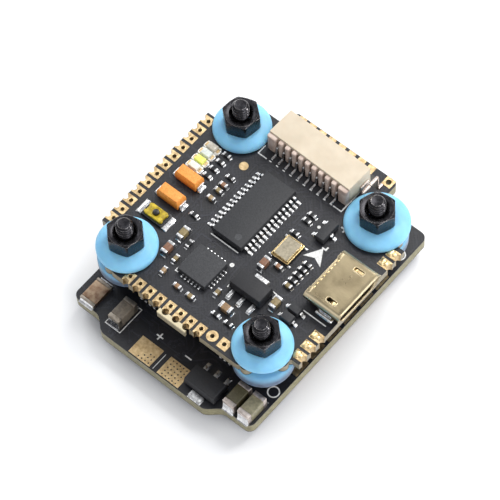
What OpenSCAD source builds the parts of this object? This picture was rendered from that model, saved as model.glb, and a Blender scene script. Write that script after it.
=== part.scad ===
// Flight controller stack for a small drone: a flight board soft-mounted over a four-motor speed
// controller board, held by four M2 screws on a 20 x 20 mm pattern.
// Frame: +X towards the USB socket, +Y is the board's forward arrow, +Z up.
// The origin is the centre of the screw pattern, on the plane of the screw heads' lower faces.

/* [Mounting] */
// Distance between mounting holes, both ways
hole_pitch = 20; // [20:0.1:20.4]
// Screw shank diameter
screw_d = 2; // [1.9:0.05:2]
// Screw head height
head_h = 1.6; // [1.4:0.1:2]
// Screw head diameter
head_d = 3.8; // [3.4:0.1:3.8]
// Nut size across its flats
nut_af = 4; // [3.8:0.1:4]
// Height of the lower nuts, between the boards
lower_nut_h = 2.8; // [2.8:0.1:3.4]
// Height of the upper nuts
upper_nut_h = 2.3; // [2:0.1:3]
// Length of screw that stands above the upper nuts
stud_free = 1.6; // [1.5:0.1:3]

/* [Flight board] */
// Width of the flight board, along X
fc_w = 29.1; // [29:0.1:29.4]
// Depth of the flight board, along Y
fc_d = 27; // [27:0.1:27.4]
// Thickness of the flight board
fc_t = 1.2; // [1:0.1:1.6]
// Diameter of the flight board's holes
fc_hole_d = 4; // [3.9:0.05:4.1]
// Width of the slot from each hole to the corner
slot_w = 2.4; // [2:0.1:2.8]

/* [Speed controller] */
// Width of the speed controller board, along X
esc_w = 26.6; // [26.6:0.1:27]
// Thickness of the speed controller board
esc_t = 1.6; // [1.2:0.1:2]
// How far the battery side reaches from the centre
esc_near = 17.87; // [17.8:0.01:18.2]
// How far the signal side reaches from the centre
esc_far = 18.55; // [18.5:0.05:19]

/* [Grommets] */
// Grommet flange diameter
flange_d = 7.2; // [7:0.1:7.2]
// Height of the grommet's foot below the flight board
foot_h = 2.2; // [2.2:0.1:2.6]
// Thickness of the grommet's top flange
flange_h = 1.4; // [0.8:0.1:1.4]

/* [Boot button] */
// Diameter of the boot button's plunger
plunger_d = 0.76; // [0.6:0.02:0.8]
// How far the plunger travels
plunger_travel = 0.2; // [0.1:0.05:0.25]

/* [Hidden] */
$fn = 48;

// Shared small sizes
eps = 0.01;              // a cut goes this far past a face
gap = 0.02;              // room between plating and board
plating = 0.05;          // thickness of a gold pad

// Heights of the stack, from the screw heads up
esc_bottom = head_h;
esc_top = esc_bottom + esc_t;
foot_z = esc_top + lower_nut_h;
fc_bottom = foot_z + foot_h;
fc_top = fc_bottom + fc_t;
flange_z = fc_top + flange_h;
nut_top = flange_z + upper_nut_h;
stud_top = nut_top + stud_free;

screw_r = screw_d / 2;
core_r = screw_r - 0.2;   // the shank's core, below the free end of the thread
bore_r = screw_r + 0.03;
fc_hole_r = fc_hole_d / 2;
hole_at = hole_pitch / 2;
flange_r = flange_d / 2;
nut_d = nut_af / cos(30);

// Chip package sizes: length, width, height
QFN4 = [4, 4, 0.9];
TSSOP28 = [4.4, 9.7, 1.0];
MSOP8 = [3, 3, 1.0];
LQFP64 = [10, 10, 1.4];
WSON8 = [6, 5, 0.8];
SOT89 = [4.5, 2.5, 1.5];
SOT23 = [1.3, 2.9, 1.0];
SOD323 = [1.5, 1.15, 0.9];
MOSFET = [3, 3, 0.8];

// Two-ended part sizes: length, width, height
R0402 = [1.0, 0.5, 0.35];
C0402 = [1.0, 0.5, 0.5];
S0603 = [1.6, 0.85, 0.8];
S1206 = [3.2, 1.6, 1.7];
SHUNT = [3.2, 2.1, 0.6];
TANTALUM = [3.2, 1.6, 1.5];
LED0805 = [1.95, 0.95, 0.6];

// Places on the flight board: x, y, turn
resistor_places = [
  [-9, 6.1, 0], [-9, 4.95, 0], [-9, 3.8, 0], [-9, 2.65, 0],
  [-6.75, 4.1, 0], [-6.75, -2.2, 0], [-4.75, -5.4, 90],
  [3.45, -10.3, 0], [5.3, -10.3, 0],
  [7.3, 0.95, 0], [7.3, 0.1, 0], [7.3, -0.75, 0], [7.35, -1.6, 0],
  [3.65, 6.2, 0], [3.65, 5.25, 0], [3.6, 3.2, 0]
];
small_capacitor_places = [
  [-6.7, 2.85, 0], [-6.7, 1.95, 0], [-6.7, 0.65, 0],
  [-4.65, -7.8, 90], [-4.7, -9.8, 90], [-2.2, -10.35, 0], [-0.25, -10.4, 0],
  [1.8, -8.1, 90], [4.95, -1.3, 0], [7.35, -2.5, 0]
];
large_capacitor_places = [
  [-6.05, -4.85, 90], [-6.15, -7.4, 90], [3.9, -9.1, 0], [3.5, -2.05, 90], [7.75, -5.1, 90]
];
diode_places = [[10, -4.35, 0], [10, -5.72, 0]];
tantalum_places = [[-10.2, 0.95, 0], [-10.2, -2.15, 0]];
led_places = [[-10.95, 5.85, 0], [-10.95, 4.8, 0], [-10.95, 3.7, 0], [-10.95, 2.65, 0]];

video_at = [-1.65, 2.3];
gyro_at = [-1.5, -6.8];
crystal_at = [4.45, 0.95];
regulator_at = [4.55, -5.5];
transistor_at = [6.4, 5.45];
boot_at = [-10.1, -4.9];
flash_at = [0, 10];
test_pad_at = [-6.65, 6.3];

// Plated edge contacts of the flight board
contact_pitch = 1.5;
side_count = 12;
side_first_y = -8.2;
rear_count = 8;
rear_first_x = -7.2;
usb_side_ys = [8.1, 6.6, -5.3, -6.8, -8.3];
contact_w = 1.12;
contact_l = 1.4;
contact_hole_r = 0.26;
contact_hole_in = 0.87;  // hole centre, in from the edge
notch_r = 0.45;

// Speed controller outline
esc_tab_near = 16.4;
esc_body_far = 15.15;
esc_corner_r = 0.9;
esc_nose_x = 7.3;
esc_shoulder_x = 9.75;
esc_far_x = [-9.2, 6.15];

// Parts on the speed controller
battery_size = [3.15, 2.55];
battery_xs = [-2.05, 2.2];
battery_y = -16.48;
motor_pad = [1.9, 2.25];
motor_pitch = 2.85;
esc_capacitor_places = [[10, -14.65, 90], [12.1, -14.6, 90], [-7, -14.75, 90]];
shunt_at = [-11.3, -14.6, 90];
esc_regulator_at = [6.15, -15.65];
driver_places = [[-5.95, -9.3, 0], [5.95, -9.3, 0]];
processor_places = [[-5, 3.4, 0], [5, 3.4, 0], [-5, -3.4, 0], [5, -3.4, 0]];
signal_xs = [for (i = [0:7]) -8 + i * 1.5];
signal_hole_at = [5.27, 17.9];
signal_hole_r = 0.35;

// Micro USB socket: it hangs over the board's edge
usb_at = [10.05, 0.55];
usb_l = 5.2;
usb_w = 7.4;
usb_h = 2.5;
usb_wall = 0.25;
usb_lip = 0.35;          // length of the flared lip
usb_flare = 0.1;
usb_tongue_z = 1.15;

// Plug sockets with a 1 mm pin pitch
socket_d = 4.25;
socket_h = 2.95;
socket_margin = 1.5;     // housing past the outermost pin
socket_wall = 0.45;
socket_slot_d = 0.55;    // depth of the rear slots
socket_cavity_d = 3.1;
socket_rear_y = 9.75;
plug_x = -0.15;
plug_pins = 10;
esc_socket_rear_y = 11.9;
underside_rear_y = -7.25;
link_pins = 8;

// Boot switch
boot_base = [3, 2, 0.45];
boot_cover = [2.4, 1.55];
boot_cover_top = 0.75;
boot_cover_t = 0.12;
boot_floor = 0.12;
collar_d = 1.4;
collar_h = 0.12;
dome_d = 1.3;
dome_h = 0.06;

// ---- helpers ----

module at_holes() {
  for (x = [-1, 1]) {
    for (y = [-1, 1]) {
      translate([x * hole_at, y * hole_at, 0]) children();
    }
  }
}

module box_at(size, z) {
  translate([0, 0, z + size[2] / 2]) cube(size, center = true);
}

// children() at each [x, y, turn] of a list, raised to z
module at_places(places, z) {
  for (p = places) {
    translate([p[0], p[1], z]) rotate([0, 0, p[2]]) children();
  }
}

// Middle of a two-ended part: the ends cover the rest of its length
module part_body(size, end_l) {
  translate([0, 0, size[2] / 2]) cube([size[0] - 2 * end_l, size[1], size[2]], center = true);
}

module part_end_pair(size, end_l) {
  for (side = [-1, 1]) {
    translate([side * (size[0] - end_l) / 2, 0, size[2] / 2])
      cube([end_l, size[1], size[2]], center = true);
  }
}

// A gull-wing lead: leaves a body at height mid, steps down and rests on the board.
// It starts at x = 0 and runs to x = reach.
module gull_lead(reach, mid, w, t) {
  foot = reach * 0.5;
  rotate([90, 0, 0])
    linear_extrude(height = w, center = true)
      polygon([
        [0, mid], [0, mid + t], [reach - foot - t / 2, mid + t], [reach - foot + t / 2, t],
        [reach, t], [reach, 0], [reach - foot - t / 2, 0], [reach - foot - t * 1.3, mid]
      ]);
}

// A row of leads out of the +X and -X sides of a body that is w wide
module lead_rows(w, count, pitch, reach, mid, lead_w, lead_t) {
  for (i = [0:count - 1]) {
    for (turn = [0, 180]) {
      translate([0, (i - (count - 1) / 2) * pitch, 0])
        rotate([0, 0, turn])
          translate([w / 2, 0, 0]) gull_lead(reach, mid, lead_w, lead_t);
    }
  }
}

module rounded_rect(x0, y0, x1, y1, r) {
  translate([x0 + r, y0]) square([x1 - x0 - 2 * r, y1 - y0]);
  translate([x0, y0 + r]) square([x1 - x0, y1 - y0 - 2 * r]);
  for (x = [x0 + r, x1 - r]) {
    for (y = [y0 + r, y1 - r]) {
      translate([x, y]) circle(r = r);
    }
  }
}

// ---- fasteners and grommets ----

// Button-head screws. Inside the boards and nuts only the core is drawn, so that the nuts have
// room for their own thread.
module stack_screws() {
  tip = 0.3;
  free_from = 0.02;
  socket_af = 1.5;
  socket_depth = 0.9;
  color("#22262b")
  at_holes() {
    difference() {
      union() {
        cylinder(d = head_d, h = head_h);
        cylinder(r = core_r, h = nut_top + free_from);
        translate([0, 0, nut_top + free_from]) cylinder(r = screw_r, h = stud_free - free_from - tip);
        translate([0, 0, stud_top - tip]) cylinder(r1 = screw_r, r2 = screw_r - tip, h = tip);
      }
      translate([0, 0, -eps]) cylinder(d = socket_af / cos(30), h = socket_depth, $fn = 6);
    }
  }
}

// A hex nut with chamfered corners and a countersunk thread, standing on z = 0
module nut(h, turn) {
  chamfer = 0.35;
  difference() {
    intersection() {
      rotate([0, 0, turn]) cylinder(d = nut_d, h = h, $fn = 6);
      union() {
        cylinder(r1 = nut_af / 2, r2 = nut_af / 2 + chamfer, h = chamfer / 2);
        translate([0, 0, chamfer / 2]) cylinder(r = nut_af / 2 + chamfer, h = h - chamfer);
        translate([0, 0, h - chamfer / 2])
          cylinder(r1 = nut_af / 2 + chamfer, r2 = nut_af / 2, h = chamfer / 2);
      }
    }
    translate([0, 0, -eps]) cylinder(r = bore_r, h = h + 1);
    translate([0, 0, h - chamfer]) cylinder(r1 = bore_r, r2 = bore_r + chamfer, h = chamfer + eps);
  }
}

module lower_nuts() {
  color("#22262b") translate([0, 0, esc_top]) at_holes() nut(lower_nut_h, 15);
}

// Each upper nut was tightened to its own angle: -X-Y, -X+Y, +X-Y, +X+Y
upper_nut_turns = [15, 21, 18, 9];

module upper_nuts() {
  color("#22262b")
  for (i = [0:3]) {
    x = i < 2 ? -1 : 1;
    y = i % 2 == 0 ? -1 : 1;
    translate([x * hole_at, y * hole_at, flange_z]) nut(upper_nut_h, upper_nut_turns[i]);
  }
}

// Silicone grommets: a thick foot, a neck through the board and a domed top flange
module grommets() {
  neck_r = fc_hole_r - 0.05;
  dome = 0.25;
  slope = 1.2;             // width of the sloping rim
  foot_edge = 0.2;
  inner_r = screw_r + 0.1;
  color("#87ceeb")
  at_holes() {
    difference() {
      union() {
        translate([0, 0, foot_z]) cylinder(r = flange_r - foot_edge, h = foot_edge);
        translate([0, 0, foot_z + foot_edge]) cylinder(r = flange_r, h = foot_h - foot_edge);
        translate([0, 0, fc_bottom]) cylinder(r = neck_r, h = fc_t);
        translate([0, 0, fc_top]) cylinder(r = flange_r, h = flange_h - dome);
        translate([0, 0, flange_z - dome]) cylinder(r1 = flange_r, r2 = flange_r - slope, h = dome);
      }
      translate([0, 0, foot_z - eps]) cylinder(r = inner_r, h = flange_z - foot_z + 1);
    }
  }
}

// ---- speed controller ----

// Points of the curved shoulder between the tab edge and the nose, mirrored for the other side
function shoulder(side, steps = 10) = [
  for (i = [0:steps])
    let (t = side > 0 ? i / steps : 1 - i / steps)
    [
      side * (esc_nose_x + (esc_shoulder_x - esc_nose_x) * t),
      -esc_near + (esc_near - esc_tab_near) * (1 - cos(180 * t)) / 2
    ]
];

module esc_outline() {
  rounded_rect(-esc_w / 2, -esc_tab_near, esc_w / 2, esc_body_far, esc_corner_r);
  join = 3;                // the nose and the signal edge run this far into the body
  back_y = join - esc_tab_near;
  polygon(concat(shoulder(-1), shoulder(1), [[esc_shoulder_x, back_y], [-esc_shoulder_x, back_y]]));
  rounded_rect(esc_far_x[0], esc_body_far - join, esc_far_x[1], esc_far, 0.6);
}

module esc_board() {
  clear_r = screw_r + 0.1;
  color("#23262d")
  translate([0, 0, esc_bottom])
    linear_extrude(height = esc_t)
      difference() {
        esc_outline();
        at_holes() circle(r = clear_r);
        translate(signal_hole_at) circle(r = signal_hole_r);
      }
}

// One battery pad with its grid of vias; the plus pad has fewer
module battery_pad(via_cells) {
  via_r = 0.1;
  pitch = 0.5;
  difference() {
    box_at([battery_size[0], battery_size[1], plating], 0);
    for (c = via_cells) {
      translate([c[0] * pitch, c[1] * pitch, -eps]) cylinder(r = via_r, h = 1, $fn = 16);
    }
  }
}

module battery_pads() {
  plus_vias = [
    for (i = [-1:2])
      for (j = [-2:0])
        if (i >= 1 || j == -2 || (i == 0 && j == -1)) [i + 0.4, j]
  ];
  minus_vias = [for (i = [-2:2]) for (j = [-2:2]) [i, j]];
  color("#d6bd84")
  translate([0, battery_y, esc_top]) {
    translate([battery_xs[0], 0, 0]) battery_pad(plus_vias);
    translate([battery_xs[1], 0, 0]) battery_pad(minus_vias);
  }
}

module motor_pads() {
  inset = 0.12;
  color("#d6bd84")
  for (side = [-1, 1]) {
    for (i = [0:5]) {
      for (z = [esc_top, esc_bottom - plating]) {
        translate([side * (esc_w / 2 - inset - motor_pad[0] / 2), (i - 2.5) * motor_pitch, 0])
          box_at([motor_pad[0], motor_pad[1], plating], z);
      }
    }
  }
}

module esc_signal_pads() {
  pad = [1.0, 1.2, plating];
  edge_gap = 0.05;
  ring = 1.25;
  color("#d6bd84") {
    for (x = signal_xs) {
      translate([x, esc_far - pad[1] / 2 - edge_gap, 0]) box_at(pad, esc_top);
    }
    translate([signal_hole_at[0], signal_hole_at[1], 0])
      difference() {
        box_at([ring, ring, plating], esc_top);
        cylinder(r = signal_hole_r, h = esc_top + 1);
      }
  }
}

esc_end_l = 0.55;

module esc_capacitors() {
  color("#7d7663")
  at_places(esc_capacitor_places, esc_top) part_body(S1206, esc_end_l);
}

module esc_capacitor_ends() {
  color("#cfc4bd")
  at_places(esc_capacitor_places, esc_top) part_end_pair(S1206, esc_end_l);
}

shunt_end_l = 0.35;

module current_shunt() {
  color("#8d6a4f")
  at_places([shunt_at], esc_top) part_body(SHUNT, shunt_end_l);
}

module shunt_ends() {
  color("#cfc9bd")
  at_places([shunt_at], esc_top) part_end_pair(SHUNT, shunt_end_l);
}

// Body of a regulator with a heat tab
module sot89_body() {
  stand = 0.05;
  box_at([SOT89[0], SOT89[1], SOT89[2] - stand], stand);
}

// Its three leads leave the side that faces lead_side along Y, and its tab the other side
module sot89_leads(lead_side) {
  pitch = 1.5;
  lead = [0.45, 1.2, 0.35];
  tab = [1.75, 0.8, 0.35];
  for (i = [-1:1]) {
    translate([i * pitch, lead_side * (SOT89[1] + lead[1]) / 2, 0]) box_at(lead, 0);
  }
  translate([0, -lead_side * (SOT89[1] + tab[1]) / 2, 0]) box_at(tab, 0);
}

module esc_regulator() {
  color("#2b2d31") translate([esc_regulator_at[0], esc_regulator_at[1], esc_top]) sot89_body();
}

module esc_regulator_leads() {
  color("#c9c9c6") translate([esc_regulator_at[0], esc_regulator_at[1], esc_top]) sot89_leads(1);
}

module driver_chips() {
  color("#2b2d31") at_places(driver_places, esc_top) box_at([MSOP8[0], MSOP8[1], MSOP8[2]], 0.1);
}

module driver_chip_leads() {
  color("#c9c9c6")
  at_places(driver_places, esc_top)
    rotate([0, 0, 90]) lead_rows(MSOP8[1], 4, 0.65, 0.9, 0.4, 0.3, 0.15);
}

module motor_processors() {
  color("#2b2d31") at_places(processor_places, esc_top) box_at(QFN4, 0);
}

// Six switches for each of four motors, on the underside
mosfet_places = concat(
  [for (x = [-6.3, 6.3]) for (i = [0:5]) [x, (i - 2.5) * 3.3, 0]],
  [for (x = [-9.65, 9.65]) for (i = [0:3]) [x, (i - 1.5) * 3.3, 0]],
  [for (x = [-2.7, 2.7]) for (y = [-8.25, 8.25]) [x, y, 0]]
);

module mosfets() {
  color("#2b2d31") at_places(mosfet_places, esc_bottom - MOSFET[2]) box_at(MOSFET, 0);
}

module mosfet_leads() {
  color("#c9c9c6")
  at_places(mosfet_places, esc_bottom - 0.2)
    for (i = [-1.5:1.5]) {
      translate([i * 0.65, MOSFET[1] / 2 + 0.06, 0]) box_at([0.35, 0.12, 0.2], 0);
    }
}

// ---- plug sockets ----

// A socket housing standing on z = 0, rear face at y = 0 and mouth towards +Y.
// The rear has one slot per pin, and a comb of ribs stands between the slots.
module socket_housing(pins) {
  w = pins - 1 + 2 * socket_margin;
  slot_width = 0.42;
  roof = 0.5;
  rib_chamfer = 0.35;
  cavity_h = 1.9;
  difference() {
    translate([-w / 2, 0, 0]) cube([w, socket_d, socket_h]);
    translate([-w / 2 + socket_wall * 2, socket_d - socket_cavity_d, socket_wall])
      cube([w - socket_wall * 4, socket_cavity_d + 1, cavity_h]);
    for (i = [0:pins - 1]) {
      translate([i - (pins - 1) / 2 - slot_width / 2, -1, -1])
        cube([slot_width, 1 + socket_slot_d, socket_h - roof + 1]);
    }
    translate([-w / 2 - 1, -rib_chamfer, socket_h])
      rotate([-45, 0, 0]) translate([0, -1, -0.5]) cube([w + 2, 1, 1]);
  }
}

// Pins of a socket: a tail in each rear slot, and a blade in the cavity
module socket_pins(pins) {
  tail_reach = 0.85;
  pin_w = 0.3;
  pin_t = 0.2;
  blade_z = 1.35;
  blade_l = 2.2;
  bend_z = 1.1;
  for (i = [0:pins - 1]) {
    translate([i - (pins - 1) / 2, 0, 0]) {
      translate([0, socket_slot_d, 0])
        rotate([0, 0, -90]) gull_lead(socket_slot_d + tail_reach, bend_z, pin_w, pin_t);
      translate([0, socket_d - socket_cavity_d + blade_l / 2, 0])
        box_at([pin_w, blade_l, pin_t], blade_z - pin_t);
    }
  }
}

module plug_socket() {
  color("#e9dfcc") translate([plug_x, socket_rear_y, fc_top]) socket_housing(plug_pins);
}

module plug_socket_pins() {
  color("#cfcac2") translate([plug_x, socket_rear_y, fc_top]) socket_pins(plug_pins);
}

// Solder tabs at both ends of the housing
module plug_socket_tabs() {
  tab = [0.25, 1.4, 1.2];
  tab_y = 2.9;
  w = plug_pins - 1 + 2 * socket_margin;
  color("#cfcac2")
  for (side = [-1, 1]) {
    translate([plug_x + side * (w / 2 + tab[0] / 2), socket_rear_y + tab_y, fc_top])
      box_at(tab, 0);
  }
}

module esc_socket() {
  color("#34312c") translate([0, esc_socket_rear_y, esc_top]) socket_housing(link_pins);
}

module esc_socket_pins() {
  color("#cfcac2") translate([0, esc_socket_rear_y, esc_top]) socket_pins(link_pins);
}

// The flight board's link socket hangs under its rear edge, mouth towards -Y
module underside_socket() {
  color("#e9dfcc")
  translate([0, underside_rear_y, fc_bottom]) rotate([180, 0, 0]) socket_housing(link_pins);
}

module underside_socket_pins() {
  color("#cfcac2")
  translate([0, underside_rear_y, fc_bottom]) rotate([180, 0, 0]) socket_pins(link_pins);
}

// ---- flight board ----

// Corner of the board: an arm curls round each hole and leaves a slot at 45 degrees
module fc_corner() {
  arm_r = fc_hole_r + 1.5;
  tip_r = 0.75;
  tip_at = fc_hole_r + tip_r;
  tip_turn = asin((slot_w / 2 + tip_r) / tip_at);
  difference() {
    union() {
      circle(r = arm_r);
      polygon([[0, -0.8], [fc_w / 2 - hole_at, -0.8], [3.3, 1.2], [0, 3.3]]);
      polygon([[-1.2, 0], [3.3, 0], [1.2, 3.3], [-1.2, fc_d / 2 - hole_at]]);
    }
    circle(r = fc_hole_r);
    rotate(45) translate([tip_at * cos(tip_turn), -5]) square([6, 10]);
    rotate(45) translate([0, -slot_w / 2]) square([6, slot_w]);
  }
  for (turn = [-tip_turn, tip_turn]) {
    rotate(45 + turn) translate([tip_at, 0]) circle(r = tip_r);
  }
}

module fc_outline() {
  band_x = 8.8;
  band_y = 9.2;
  stub = 0.6;
  difference() {
    union() {
      square([fc_w, 2 * band_y], center = true);
      square([2 * band_x, fc_d], center = true);
    }
    at_holes() circle(r = fc_hole_r + 1);
  }
  for (x = [0, 1]) {
    for (y = [0, 1]) {
      mirror([x, 0]) mirror([0, y]) translate([hole_at, hole_at]) fc_corner();
    }
  }
  // rough stub where the board was broken out of its panel
  translate([-2, -fc_d / 2 - stub]) square([4.1, 1]);
}

// Where each plated edge contact sits: x, y and the turn that points its notch outwards
side_contacts = [for (i = [0:side_count - 1]) [-fc_w / 2, side_first_y + i * contact_pitch, 180]];
rear_contacts = [for (i = [0:rear_count - 1]) [rear_first_x + i * contact_pitch, -fc_d / 2, -90]];
usb_side_contacts = [for (y = usb_side_ys) [fc_w / 2, y, 0]];
rear_round_at = [4.85, -12.55];
rear_square_at = [6.55, -12.5];

module contact_cuts() {
  cylinder(r = notch_r, h = fc_t + 2);
  translate([-contact_hole_in, 0, 0]) cylinder(r = contact_hole_r, h = fc_t + 2);
}

module fc_board() {
  edge_contacts = concat(side_contacts, rear_contacts, usb_side_contacts);
  color("#2a2c34")
  difference() {
    translate([0, 0, fc_bottom]) linear_extrude(height = fc_t) fc_outline();
    at_places(edge_contacts, fc_bottom - 1) contact_cuts();
    for (p = [rear_round_at, rear_square_at]) {
      translate([p[0], p[1], fc_bottom - 1]) cylinder(r = contact_hole_r, h = fc_t + 2);
    }
  }
}

// Gold stops where a grommet covers the board
module clear_of_grommets() {
  difference() {
    children();
    at_holes() translate([0, 0, foot_z]) cylinder(r = flange_r + gap, h = flange_z - foot_z);
  }
}

// Gold on both faces of an edge contact, joined by the lining of its notch
module edge_contact() {
  for (z = [-plating, fc_t]) {
    translate([0, 0, z])
      linear_extrude(height = plating)
        difference() {
          translate([-contact_l, -contact_w / 2]) square([contact_l, contact_w]);
          circle(r = notch_r - gap - plating);
          translate([-contact_hole_in, 0]) circle(r = contact_hole_r);
        }
  }
  translate([0, 0, -plating])
    linear_extrude(height = fc_t + 2 * plating)
      intersection() {
        difference() {
          circle(r = notch_r - gap);
          circle(r = notch_r - gap - plating);
        }
        translate([-1, -1]) square([1, 2]);
      }
}

module side_pads() {
  color("#d8c08a") clear_of_grommets() at_places(side_contacts, fc_bottom) edge_contact();
}

module rear_pads() {
  hole = contact_hole_r;
  ring_d = 1.4;
  pad = [1.3, 1.35];
  color("#d8c08a") clear_of_grommets() {
    at_places(rear_contacts, fc_bottom) edge_contact();
    for (z = [fc_bottom - plating, fc_top]) {
      translate([0, 0, z])
        linear_extrude(height = plating) {
          difference() {
            translate(rear_round_at) circle(d = ring_d);
            translate(rear_round_at) circle(r = hole);
          }
          difference() {
            translate(rear_square_at) square(pad, center = true);
            translate(rear_square_at) circle(r = hole);
          }
        }
    }
  }
}

module usb_side_pads() {
  color("#d8c08a") clear_of_grommets() at_places(usb_side_contacts, fc_bottom) edge_contact();
}

module test_pad() {
  color("#d8c08a") translate([test_pad_at[0], test_pad_at[1], fc_top]) cylinder(d = 1.1, h = plating);
}

// ---- chips on top of the flight board ----

chip_stand = 0.08;       // a leaded chip's belly clears the board by this much

module video_chip() {
  dimple_at = [0.95, -3.85];
  color("#35363a")
  translate([video_at[0], video_at[1], fc_top])
    difference() {
      box_at([TSSOP28[0], TSSOP28[1], TSSOP28[2] - chip_stand], chip_stand);
      translate([dimple_at[0], dimple_at[1], TSSOP28[2] - 0.06]) cylinder(r = 0.45, h = 1);
    }
}

module video_chip_leads() {
  color("#c9c9c6")
  translate([video_at[0], video_at[1], fc_top]) lead_rows(TSSOP28[0], 14, 0.65, 1.0, 0.4, 0.3, 0.15);
}

module gyro_chip() {
  color("#323439")
  translate([gyro_at[0], gyro_at[1], fc_top])
    difference() {
      box_at(QFN4, 0);
      translate([1.4, 1.4, QFN4[2] - 0.05]) cylinder(r = 0.25, h = 1);
    }
}

// Solder pads round a leadless chip: six on a side
module gyro_pads() {
  color("#c9c9c6")
  translate([gyro_at[0], gyro_at[1], fc_top])
    for (turn = [0:90:270]) {
      rotate([0, 0, turn])
        for (i = [0:5]) {
          translate([QFN4[0] / 2 + 0.2, (i - 2.5) * 0.5, 0]) box_at([0.4, 0.26, 0.12], 0);
        }
    }
}

crystal_size = [2.5, 3.2, 0.45];

module crystal_base() {
  color("#c9b070") translate([crystal_at[0], crystal_at[1], fc_top]) box_at(crystal_size, 0);
}

module crystal_lid() {
  rim = 0.12;
  lid_t = 0.25;
  color("#c4bcae")
  translate([crystal_at[0], crystal_at[1], fc_top + crystal_size[2]])
    linear_extrude(height = lid_t)
      rounded_rect(
        rim - crystal_size[0] / 2, rim - crystal_size[1] / 2,
        crystal_size[0] / 2 - rim, crystal_size[1] / 2 - rim, 0.3
      );
}

module regulator() {
  color("#2b2d31") translate([regulator_at[0], regulator_at[1], fc_top]) sot89_body();
}

module regulator_leads() {
  color("#c9c9c6") translate([regulator_at[0], regulator_at[1], fc_top]) sot89_leads(-1);
}

module transistor() {
  color("#2b2d31")
  translate([transistor_at[0], transistor_at[1], fc_top])
    box_at([SOT23[0], SOT23[1], SOT23[2] - chip_stand], chip_stand);
}

module transistor_leads() {
  color("#c9c9c6")
  translate([transistor_at[0], transistor_at[1], fc_top]) {
    for (y = [-0.95, 0.95]) {
      translate([-SOT23[0] / 2, y, 0]) rotate([0, 0, 180]) gull_lead(0.6, 0.4, 0.42, 0.14);
    }
    translate([SOT23[0] / 2, 0, 0]) gull_lead(0.6, 0.4, 0.42, 0.14);
  }
}

// ---- two-ended parts on the flight board ----

small_end_l = 0.24;
large_end_l = 0.35;
tantalum_end_l = 0.35;

// The orange body overhangs the terminals, which wrap its lower ends
module tantalum_capacitors() {
  color("#f0a04b")
  at_places(tantalum_places, fc_top)
    difference() {
      box_at([TANTALUM[0], TANTALUM[1], TANTALUM[2] - 0.1], 0.1);
      for (side = [-1, 1]) {
        translate([side * TANTALUM[0] / 2, 0, 0]) box_at([0.24, 1.24, 0.72], 0);
      }
    }
}

module tantalum_ends() {
  reach = 0.3;
  color("#d9d9d4")
  at_places(tantalum_places, fc_top)
    for (side = [-1, 1]) {
      translate([side * (TANTALUM[0] / 2 + reach / 2 - 0.1), 0, 0]) box_at([reach, 1.2, 0.7], 0);
    }
}

led_end_l = 0.32;
led_base_h = 0.25;

module led_bases() {
  color("#d9d6cc")
  at_places(led_places, fc_top)
    union() {
      box_at([LED0805[0], LED0805[1], led_base_h], 0);
      part_end_pair([LED0805[0], LED0805[1], led_base_h + 0.02], led_end_l);
    }
}

module led_lenses() {
  color("#dfe3b4")
  at_places(led_places, fc_top + led_base_h)
    box_at([LED0805[0] - 2 * led_end_l, LED0805[1] - 0.04, LED0805[2] - led_base_h], 0);
}

module ceramic_capacitors() {
  color("#9b7b5e") {
    at_places(small_capacitor_places, fc_top) part_body(C0402, small_end_l);
    at_places(large_capacitor_places, fc_top) part_body(S0603, large_end_l);
  }
}

module resistors() {
  color("#1f2125") at_places(resistor_places, fc_top) part_body(R0402, small_end_l);
}

module diodes() {
  color("#303238")
  at_places(diode_places, fc_top) box_at([SOD323[0], SOD323[1], SOD323[2] - chip_stand], chip_stand);
}

// Tinned ends of the resistors, ceramic capacitors and diodes
module part_ends() {
  color("#d9d9d4") {
    at_places(resistor_places, fc_top) part_end_pair(R0402, small_end_l);
    at_places(small_capacitor_places, fc_top) part_end_pair(C0402, small_end_l);
    at_places(large_capacitor_places, fc_top) part_end_pair(S0603, large_end_l);
    at_places(diode_places, fc_top)
      for (turn = [0, 180]) {
        rotate([0, 0, turn]) translate([SOD323[0] / 2, 0, 0]) gull_lead(0.5, 0.35, 0.4, 0.12);
      }
  }
}

// ---- micro USB socket ----

// Section of the shell, in the YZ plane as drawn flat: flat top, tapered lower corners
module usb_section(grow) {
  w = usb_w / 2 - usb_wall + grow;
  h = usb_h - 2 * usb_wall;
  corner = 0.35 + grow;
  taper = 0.75;
  hull() {
    for (side = [-1, 1]) {
      translate([side * (w - corner), usb_wall + h + grow - corner]) circle(r = corner, $fn = 24);
      translate([side * (w - corner), usb_wall + h * 0.55]) circle(r = corner, $fn = 24);
      translate([side * (w - taper - corner), usb_wall - grow + corner]) circle(r = corner, $fn = 24);
    }
  }
}

module usb_extrude(x0, x1) {
  translate([x0, 0, 0])
    rotate([90, 0, 90])
      linear_extrude(height = x1 - x0) children();
}

// Folded steel shell: open mouth towards +X with a flared lip, two spring windows in the roof
module usb_shell() {
  window = [1.35, 0.5, 3 * usb_wall];
  window_x = 3.1;
  window_y = 2.4;
  tab = [1.6, 0.3, 0.75];
  tab_x = 2.7;
  color("#a89a78")
  translate([usb_at[0], usb_at[1], fc_top]) {
    difference() {
      union() {
        usb_extrude(0, usb_l) usb_section(usb_wall);
        usb_extrude(usb_l - usb_lip, usb_l) usb_section(usb_wall + usb_flare);
      }
      usb_extrude(usb_wall, usb_l + 1) usb_section(0);
      for (side = [-1, 1]) {
        translate([window_x, side * window_y, usb_h]) cube(window, center = true);
      }
    }
    for (side = [-1, 1]) {
      translate([tab_x, side * (usb_w + tab[1]) / 2, 0]) box_at(tab, 0);
    }
  }
}

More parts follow.
